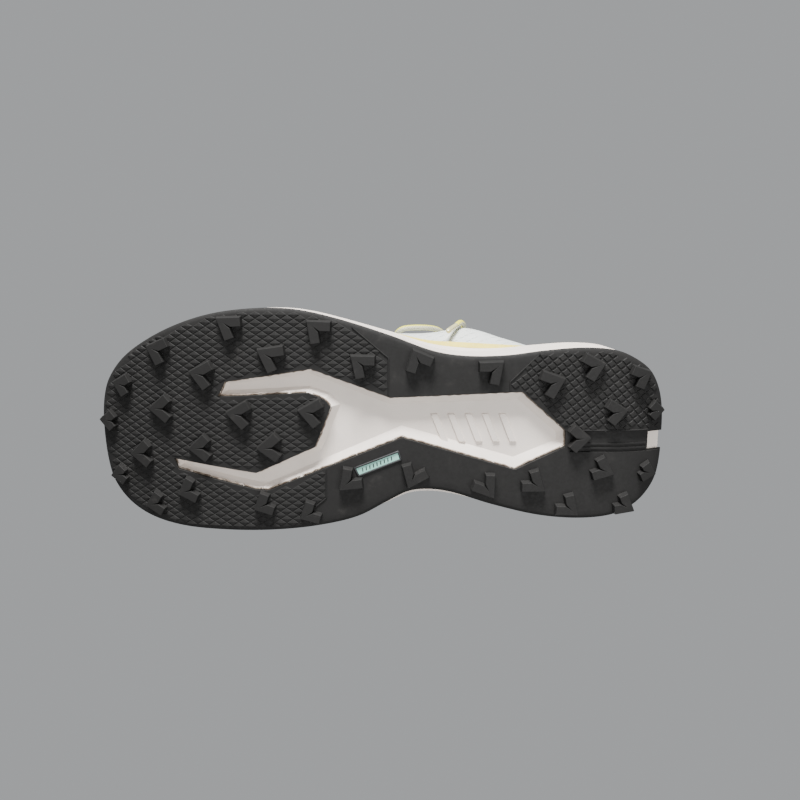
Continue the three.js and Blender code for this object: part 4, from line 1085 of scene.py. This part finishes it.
def makeInsoles():
    rise = smoothRows([[0, 5.5], [60, 5], [110, 4], [160, 1.5], [205, 0.4], [301, 0.2]])

    def base(x):
        return footbed(x) + insole["lift"]

    def floor(x):
        return base(x) + insole["thickness"]

    def edge(x):
        return floor(x) + rise(x)[..., 0]

    def low(x):
        return base(x) + insole["clothLift"]

    def top(x):
        return low(x) + rise(x)[..., 0] + 0.2

    spines = (0.3, 0.65, 1)
    thin = insole["clothThickness"]
    rows = [innerRow(s, inBoard(0.6), base) for s in spines[::-1]]
    rows += [edgeRow(inBoard(0.6), base), edgeRow(inBoard(0.1), lambda x: base(x) + 0.7),
             edgeRow(inBoard(0), lambda x: base(x) + 1.5), edgeRow(inBoard(0), lambda x: edge(x) - 0.6),
             edgeRow(inBoard(0.5), lambda x: edge(x) - 0.1), edgeRow(inBoard(1.4), edge),
             edgeRow(inBoard(5), lambda x: floor(x) + 0.42 * rise(x)[..., 0]), edgeRow(inBoard(12), floor)]
    rows += [innerRow(s, inBoard(12), floor) for s in spines]
    settle(shoeBody("insoleFoam", rows, 200), "foam", paints["insole"], "insole")
    rows = [innerRow(s, inBoard(12), low) for s in spines[::-1]]
    rows += [edgeRow(inBoard(12), low), edgeRow(inBoard(5), lambda x: low(x) + 0.42 * rise(x)[..., 0]),
             edgeRow(inBoard(1), lambda x: top(x) + 0.1), edgeRow(inBoard(0.7), lambda x: top(x) + 0.4),
             edgeRow(inBoard(1.1), lambda x: top(x) + 0.75),
             edgeRow(inBoard(5), lambda x: low(x) + 0.8 + 0.42 * rise(x)[..., 0]),
             edgeRow(inBoard(12), lambda x: low(x) + thin)]
    rows += [innerRow(s, inBoard(12), lambda x, s=s: low(x) + thin + 0.5 * s) for s in spines]
    cover = shoeBody("insoleTopCloth", rows, 240)
    smoothShade(cover, 60)
    settle(cover, "sockliner", paints["sockliner"], "insole_cover")
    for node, paint in (("strobel_board", "board"), ("heel_counter", "stiffener"), ("toe_puff", "stiffener")):
        nodes[node].data.materials.clear()
        nodes[node].data.materials.append(paints[paint])


makeInsoles()
print("insole made")

# upper
cloth = {
    "overlay": 0.9, "filmFoot": 1.3, "filmHeight": 5, "bumperHeight": 5, "bumperSwell": 7, "eyestayWidth": 14,
    "bumperHalfTurn": 0.098, "stitch": 2.4, "stitchRadius": 0.22, "knitPuff": 0.25,
}


def knitOffset(w, v):
    # the cloth is a little fuller between its seams
    return cloth["knitPuff"] * np.sin(np.pi * np.clip(v, 0, 1)) ** 0.5


def stitchRow(name, points, out, material, length=None):
    # short stitches laid along a line, each a small capsule half sunk in the cloth
    length = length or cloth["stitch"] * 0.7
    steps = np.concatenate([[0], np.cumsum(np.linalg.norm(np.diff(points, axis=0), axis=1))])
    places = np.arange(cloth["stitch"] / 2, steps[-1], cloth["stitch"])
    bm = bmesh.new()
    for at in places:
        centre = np.array([np.interp(at, steps, points[:, i]) for i in range(3)])
        ahead = np.array([np.interp(at + 0.4, steps, points[:, i]) for i in range(3)])
        way = Vector(unit(ahead - centre)) if at + 0.4 < steps[-1] else Vector((1, 0, 0))
        up = Vector(unit(np.array([np.interp(at, steps, out[:, i]) for i in range(3)])))
        side = up.cross(way).normalized()
        turn = Matrix((way, side, way.cross(side))).transposed().to_4x4()
        size = Matrix.Diagonal((length / 2 * mm, cloth["stitchRadius"] * mm, cloth["stitchRadius"] * mm, 1))
        bmesh.ops.create_uvsphere(bm, u_segments=6, v_segments=4, radius=1,
                                  matrix=Matrix.Translation(Vector(toRow(centre))) @ turn @ size)
    piece = newPiece(name, bm)
    smoothShade(piece, 180)
    return settle(piece, None, material)


def seamLine(span, share, offset, count=160):
    w = np.linspace(*span, count)
    v = share(w) if callable(share) else np.full_like(w, share)
    return upperPoint(w, v, offset), upperFrame(w, v)[2]


def makeUpper():
    vamp = shellPiece("vampKnit", (0.3727, 0.6273), 0, 1, knitOffset, 1.6, 150, 48)
    settle(vamp, "mesh", paints["mesh"], "vamp")
    for side, name in ((1, "lateral"), (-1, "medial")):
        ends = sorted((turnOf(0.0015, side), turnOf(0.745, side)))
        quarter = shellPiece("quarterKnit" + name.title(), ends, 0, 1, knitOffset, 1.6, 210, 48)
        settle(quarter, "mesh", paints["mesh"], "quarter_" + name)
    for side, name in ((1, "Lateral"), (-1, "Medial")):
        for place in (0.737, 0.752):
            w = np.full(70, turnOf(place, side))
            v = np.linspace(0.22, 0.97, 70)
            stitchRow("seamStitch" + name + str(int(place * 1000)), upperPoint(w, v, 0.3),
                      upperFrame(w, v)[2], paints["thread"])
    foot, overlay = cloth["filmFoot"], cloth["overlay"]
    rand = shellPiece("sideFilm", (-0.4, 0.4), lambda w: aboveRim(w, foot),
                      lambda w: aboveRim(w, foot + cloth["filmHeight"]), 1.5, overlay, 260, 6)
    settle(rand, "overlay", paints["film"], "mudguard_rand")
    half = cloth["bumperHalfTurn"]

    def bumperTop(w):
        swell = np.maximum(0, np.cos(np.pi * (w - 0.5) / half / 2)) ** 0.7
        return aboveRim(w, foot + cloth["bumperHeight"] + cloth["bumperSwell"] * swell)

    bumper = shellPiece("toeBumperRubber", (0.5 - half, 0.5 + half), lambda w: aboveRim(w, foot), bumperTop,
                        2.44, 1.44, 90, 12, edge=0.5)
    settle(bumper, "bumper", paints["bumper"], "toe_bumper")
    tape = shellPiece("heelTapeStrip", (-0.017, 0.017), lambda w: aboveRim(w, 7.6), 0.965, 1.5, overlay,
                      10, 40)
    settle(tape, "tape", paints["tape"], "heel_tape")
    for side, name in ((1, "lateral"), (-1, "medial")):
        ends = sorted((turnOf(0.395, side), turnOf(0.735, side)))
        stay = shellPiece("eyestay" + name.title(), ends, lambda w: shareBelowTop(w, cloth["eyestayWidth"]),
                          0.995, 1.5, overlay, 120, 14)
        settle(stay, "overlay", paints["overlay"], "eyestay_" + name)
        for row, distance in (("Low", 12.6), ("High", 1.8)):
            line, out = seamLine(ends, lambda w: shareBelowTop(w, distance), 1.55, 90)
            stitchRow("eyestayStitch" + row + name.title(), line, out, paints["thread"])


def padding(w, v):
    up = ease(0.5, 0.74, v) * (1 - 0.65 * ease(0.88, 1, v))
    return pattern["collarPad"] * up * (1 - 0.7 * ease(0.3, pattern["liningPlace"], placeOf(w)))


def makeCollar():
    # lining, padded behind the ankle and rolled over the top edge
    def place(u, v):
        w = -0.2 + 0.4 * u
        share = np.clip(0.02 + v / 0.86 * 0.94, 0, 0.965)
        roll = np.clip((v - 0.86) / 0.14, 0, 1)
        gap = pattern["sewnGap"]
        depth = pattern["shell"] + gap + pattern["counter"] + gap + padding(w, share)
        crown = 0.9 * np.sin(np.pi * np.clip((share - 0.55) / 0.42, 0, 1)) * (1 - ease(0.33, 0.4, placeOf(w)))
        angle = roll * math.pi * 0.86
        middle = (depth + 1.8) / 2
        reach = (depth - 1.8) / 2
        offset = -(middle + reach * np.cos(angle)) - crown * (roll == 0)
        share = share + 0.022 * np.sin(angle)
        return upperPoint(w, np.minimum(share, 1), offset), clothUv(w, share)

    def outward(u, v):
        w = np.array(-0.2 + 0.4 * u)
        return -upperFrame(w, np.array(0.5))[2]

    lining = gridPiece("collarLiningPad", 200, 64, place, outward)
    solid = lining.modifiers.new("thickness", "SOLIDIFY")
    solid.thickness = pattern["lining"] * mm
    solid.offset = -1
    smoothShade(lining, 60)
    settle(lining, "lining", paints["lining"], "collar_lining", "collar_padding")


makeUpper()
makeCollar()
print("upper made")


# tongue
def tongueLine(place, thickness):
    depth = -(pattern["shell"] + pattern["tongueFit"] + thickness)
    wl, wm = place / 2, 1 - place / 2

    def tucked(w):
        return [upperPoint(w, shareBelowTop(np.array(w), pattern["tongueTuck"] * s), depth) for s in (1, 0.5)]

    el, em = upperPoint(wl, 1, depth), upperPoint(wm, 1, depth)
    reach = np.linalg.norm(em - el) * 0.34
    a = el + upperFrame(np.array(wl), np.array(1.0))[1] * reach
    b = em + upperFrame(np.array(wm), np.array(1.0))[1] * reach
    t = spread(7)[:, None]
    bridge = (1 - t) ** 3 * el + 3 * t * (1 - t) ** 2 * a + 3 * t * t * (1 - t) * b + t ** 3 * em
    return np.array([*tucked(wl), *bridge, *tucked(wm)[::-1]])


def makeTongue():
    places = [0.41, 0.445, 0.48, 0.52, 0.56, 0.6, 0.64, 0.685, 0.735]

    def grid(thickness):
        lines = [tongueLine(p, thickness) for p in places]
        return np.array([*lines, lines[-1] + [8, 0, -3.2], lines[-1] + [17, 0, -5.2]])

    flap = [[21.5, 25.5], [19.5, 21.5], [14, 14], [7, 6.5], [0, 0]]

    def flapGrid(line, swell):
        middle = line[2:-2]
        wide = np.column_stack([np.interp(spread(11), spread(7), middle[:, i]) for i in range(3)])
        made = []
        for i, (back, up) in enumerate(flap):
            crown = swell * math.sin(math.pi * i / (len(flap) - 1))
            made.append(wide + [crown - 1.8 - back, 0, 1.44 + up])
        return np.array(made)

    front = np.concatenate([flapGrid(tongueLine(0.41, 0), 1), grid(0)])
    back = np.concatenate([flapGrid(tongueLine(0.41, 6), -1.5), grid(pattern["tongue"])])
    keys = np.arange(len(front), dtype=float)
    rows = len(front) - 1

    def curve(table):
        return smoothRows([[k, *table[int(k)].ravel()] for k in keys])

    frontAt, backAt = curve(front), curve(back)
    width = front.shape[1]

    def surface(at, u, v):
        lines = at(v * rows).reshape(-1, width, 3)
        spot = u * (width - 1)
        i = np.clip(np.floor(spot).astype(int), 0, width - 2)
        n = np.arange(len(u))
        before, after = np.maximum(i - 1, 0), np.minimum(i + 2, width - 1)
        p0, p1, p2, p3 = lines[n, before], lines[n, i], lines[n, i + 1], lines[n, after]
        t = (spot - i)[:, None]
        m1, m2 = (p2 - p0) / 2, (p3 - p1) / 2
        return p1 + t * (m1 + t * (3 * (p2 - p1) - 2 * m1 - m2 + t * (2 * (p1 - p2) + m1 + m2)))

    def place(u, v):
        # round section: the sheet runs over the front, round the edge and back under
        turn = u * 2
        across = np.where(turn <= 1, turn, 2 - turn)
        squeeze = 0.012 + across * 0.976
        a, b = surface(frontAt, squeeze, v), surface(backAt, squeeze, v)
        edge = np.minimum(np.minimum(across, 1 - across) / 0.09, 1)
        ends = np.minimum(np.minimum(v, 1 - v) / 0.04, 1)
        full = np.sqrt(np.clip(1 - (1 - edge) ** 2, 0, 1)) * np.sqrt(np.clip(1 - (1 - ends) ** 2, 0, 1))
        middle, half = (a + b) / 2, (a - b) / 2
        quilt = 1 - 0.05 * (1 - np.abs(np.sin(v * rows * 2.2)) ** 0.4) * (v < 0.8)
        points = middle + half * (full * quilt)[:, None] * np.where(turn <= 1, 1, -1)[:, None]
        return points, np.column_stack([across * 95, v * 165]) * mm

    piece = gridPiece("tonguePadded", 144, 150, place, weld=True)
    smoothShade(piece, 180)
    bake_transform(piece, "root", "tongue_flap", start=(-0.044, -0.005, 0.088), end=(-0.058, -0.005, 0.098))
    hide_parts("tongue", "tongue_top")
    piece.data.materials.append(paints["tongue"])


makeTongue()
print("tongue made")

# lacing
lacing = {"diameter": 3.2, "knotHalf": (7, 5), "loopWidth": 6, "bowClearance": 4.2, "bowRise": 3.2}
loopPlaces = [0.465 + i * 0.05 for i in range(6)]


def loopFrame(place, side):
    w = np.array(turnOf(place, side))
    along, up, out = upperFrame(w, np.array(1.0))
    across = unit(np.cross(out, along))
    if across @ up < 0:
        across = -across
    return upperAt(w, 1.0), across, out, np.cross(across, out)


def loopCentre(place, side):
    origin, across, out, _ = loopFrame(place, side)
    return origin + across * 5 + out * 3


def throatCrown(place):
    return tongueLine(place, 0)[:, 2].max()


knotCentre = np.array([topLine(np.array(0.215))[0], throatAxis(np.array(109.0))[0], throatCrown(0.43) + 5.8])


def atKnot(x, y, z, side):
    return knotCentre + [x, side * y, z]


def onSide(place, v, lift, side):
    return upperPoint(turnOf(place, side), v, lift)


def laceRun(side):
    points = []
    places = loopPlaces[::-1]
    for i, place in enumerate(places):
        current = side if i % 2 == 0 else -side
        centre = loopCentre(place, current)
        third = loopFrame(place, current)[3]
        ahead = third * ((-0.8 if third[0] > 0 else 0.8) * lacing["loopWidth"])
        points += [centre - ahead, centre + ahead]
        if i == len(places) - 1:
            break
        middle = (centre + loopCentre(places[i + 1], -current)) / 2
        lift = 1.6 + 0.5 + (3.7 if side > 0 else 0)
        middle[2] = throatCrown((place + places[i + 1]) / 2) + lift
        points.append(middle)
    last = side if len(places) % 2 == 1 else -side
    return points + [atKnot(1.5, 12, -3.6, last), atKnot(0.5, 7.6, -2.8, last)]


def bowLoop(side):
    clear, rise = lacing["bowClearance"], lacing["bowRise"]

    def on(place, v, lift):
        return onSide(place, v, lift, side)

    return [atKnot(-1.5, 7.8, 2, side), atKnot(-1, 13, 2.4, side), on(0.43, 0.97, clear + rise),
            on(0.428, 0.82, clear), on(0.434, 0.68, clear), on(0.452, 0.54, clear), on(0.484, 0.49, clear),
            on(0.506, 0.6, clear), on(0.498, 0.76, clear), on(0.49, 0.93, clear + rise),
            atKnot(12, 14, 3.6, side), atKnot(4.5, 7.4, 1.6, side)]


def laceEnd(side):
    clear = lacing["bowClearance"]

    def on(place, v, lift):
        return onSide(place, v, lift, side)

    return [atKnot(-5.4, 6.4, -1.4, side), atKnot(-7, 12, -1, side), on(0.4, 0.97, clear),
            on(0.392, 0.84, clear), on(0.388, 0.7, clear - 0.8), on(0.386, 0.58, clear - 0.8),
            on(0.386, 0.47, clear - 0.8)]


def makeLacing():
    radius = lacing["diameter"] / 2
    lateral, medial = laceRun(1), laceRun(-1)
    bar = (lateral[0] + medial[0]) / 2
    bar[0] += 3
    bar[2] = max(bar[2], throatCrown(loopPlaces[-1]) + 2)
    run = tubePiece("laceThroughLoops", smoothPath([*lateral[::-1], bar, *medial], 1.0), radius, 14)
    settle(run, "lace", paints["lace"], "lace")
    for side, name in ((1, "lateral"), (-1, "medial")):
        route = smoothPath(bowLoop(side), 0.6)
        bow = tubePiece("bow" + name.title(), route, radius, 16)
        settle(bow, "lace", paints["lace"], "bow_loop_" + name)
        tuple(toRow(route[0]))
        [tuple(toRow(p)) for p in route[::4]]
        route = smoothPath(laceEnd(side), 0.6)
        end = tubePiece("laceEnd" + name.title(), route, radius, 16)
        settle(end, "lace", paints["lace"], "lace_end_" + name)
        way = laceEnd(side)[-1] - laceEnd(side)[-2]
        way = way / np.linalg.norm(way)
        start = laceEnd(side)[-1] - way * 0.5
        tip = tubePiece("aglet" + name.title(), [start, start + way * 9, start + way * 18.2], 1.5, 20)
        settle(tip, "aglet", paints["aglet"], "aglet_" + name)
        tuple(toRow(route[0]))
        [tuple(toRow(p)) for p in route[::4]]


def makeKnot():
    # two wraps of lace over a core, pulled tight
    ry, rz = lacing["knotHalf"]
    radius = lacing["diameter"] / 2
    made = []
    for offset, lean in ((-2.6, 0.35), (1.0, -0.3)):
        turn = np.linspace(0, 2 * math.pi, 72)
        ring = np.column_stack([offset + lean * 3 * np.sin(turn) + 0.6 * np.cos(turn * 2),
                                (ry - radius) * np.cos(turn), (rz - radius) * np.sin(turn)])
        made.append(tubePiece("wrap", knotCentre + ring, radius, 14, ends=False))
    along = np.linspace(-1, 1, 40)
    for side in (1, -1):
        core = np.column_stack([side * 1.3 + 1.2 * np.sin(along * 2.4), along * (ry - 0.8),
                                side * 0.9 + 0.5 * along])
        made.append(tubePiece("core", knotCentre + core, radius * 1.15, 14))
    settle(joinPieces(made, "knotWraps"), "lace", paints["lace"], "lace_knot")


def makeLoops():
    for side, name in ((1, "lateral"), (-1, "medial")):
        for i, place in enumerate(loopPlaces):
            node = "lace_loop_%s_%d" % (name, i + 1)
            loop = mergedCopy(node, "webbingLoop" + name.title() + str(i + 1))
            bevelPiece(loop, 0.22, 2, 50)
            smoothShade(loop, 35)
            settle(loop, "webbing", paints["loop"], node)
            origin, across, out, third = loopFrame(place, side)
            foot = origin - across * 7.4 + out * 3.95
            line = np.array([foot + third * t for t in np.linspace(-2.4, 2.4, 9)])
            stitchRow("loopStitch" + name.title() + str(i + 1), line, np.tile(out, (9, 1)), paints["thread"],
                      1.2)


makeLacing()
makeKnot()
makeLoops()
print("lacing made")


# pull tab
pullTab = {"softness": 0.3, "smoothAngle": 35}


def makePullTab():
    tab = mergedCopy("heel_pull_tab", "pullTabStrap")
    bevelPiece(tab, pullTab["softness"], 2, 50)
    smoothShade(tab, pullTab["smoothAngle"])
    settle(tab, "tab", paints["tab"], "heel_pull_tab", body="pull_tab")


makePullTab()
print("pull tab made")

# floor and light
studio = {"world": 0.45, "key": 46, "front": 5.2, "over": 9.0}


def makeStudio():
    bpy.ops.mesh.primitive_plane_add(size=6)
    floor = bpy.context.object
    floor.name = "floor"
    paint = Paint("paleFloor", Base_Color=(0.62, 0.62, 0.61, 1), Roughness=0.7)
    seen = paint.node("NewGeometry", output="Backfacing")
    clear = paint.node("BsdfTransparent")
    both = paint.tree.nodes.new("ShaderNodeMixShader")
    feed(paint.tree, both.inputs[0], seen)
    paint.tree.links.new(paint.shader.outputs[0], both.inputs[1])
    feed(paint.tree, both.inputs[2], clear)
    output = next(n for n in paint.tree.nodes if n.type == "OUTPUT_MATERIAL")
    paint.tree.links.new(both.outputs[0], output.inputs[0])
    floor.data.materials.append(paint.material)
    floor.visible_shadow = False
    floor.visible_diffuse = False
    floor.visible_glossy = False
    floor.visible_transmission = False
    world = bpy.data.worlds.new("studio")
    world.use_nodes = True
    world.node_tree.nodes["Background"].inputs[0].default_value = (0.86, 0.88, 0.9, 1)
    world.node_tree.nodes["Background"].inputs[1].default_value = studio["world"]
    bpy.context.scene.world = world
    lamps = [("key", (0.08, 1.05, -0.34), (0.4, 0.25), studio["key"]),
             ("front", (-0.25, -0.1, -0.75), (0.7, 0.7), studio["front"]),
             ("over", (0.3, -0.4, 0.9), (0.8, 0.8), studio["over"])]
    for name, at, size, power in lamps:
        data = bpy.data.lights.new(name, "AREA")
        data.shape = "RECTANGLE"
        data.size, data.size_y = size
        data.energy = power
        lamp = bpy.data.objects.new(name, data)
        bpy.context.scene.collection.objects.link(lamp)
        lamp.location = at
        lamp.rotation_euler = (Vector((0, 0, 0.03)) - Vector(at)).to_track_quat("-Z", "Y").to_euler()


makeStudio()
print("studio made")
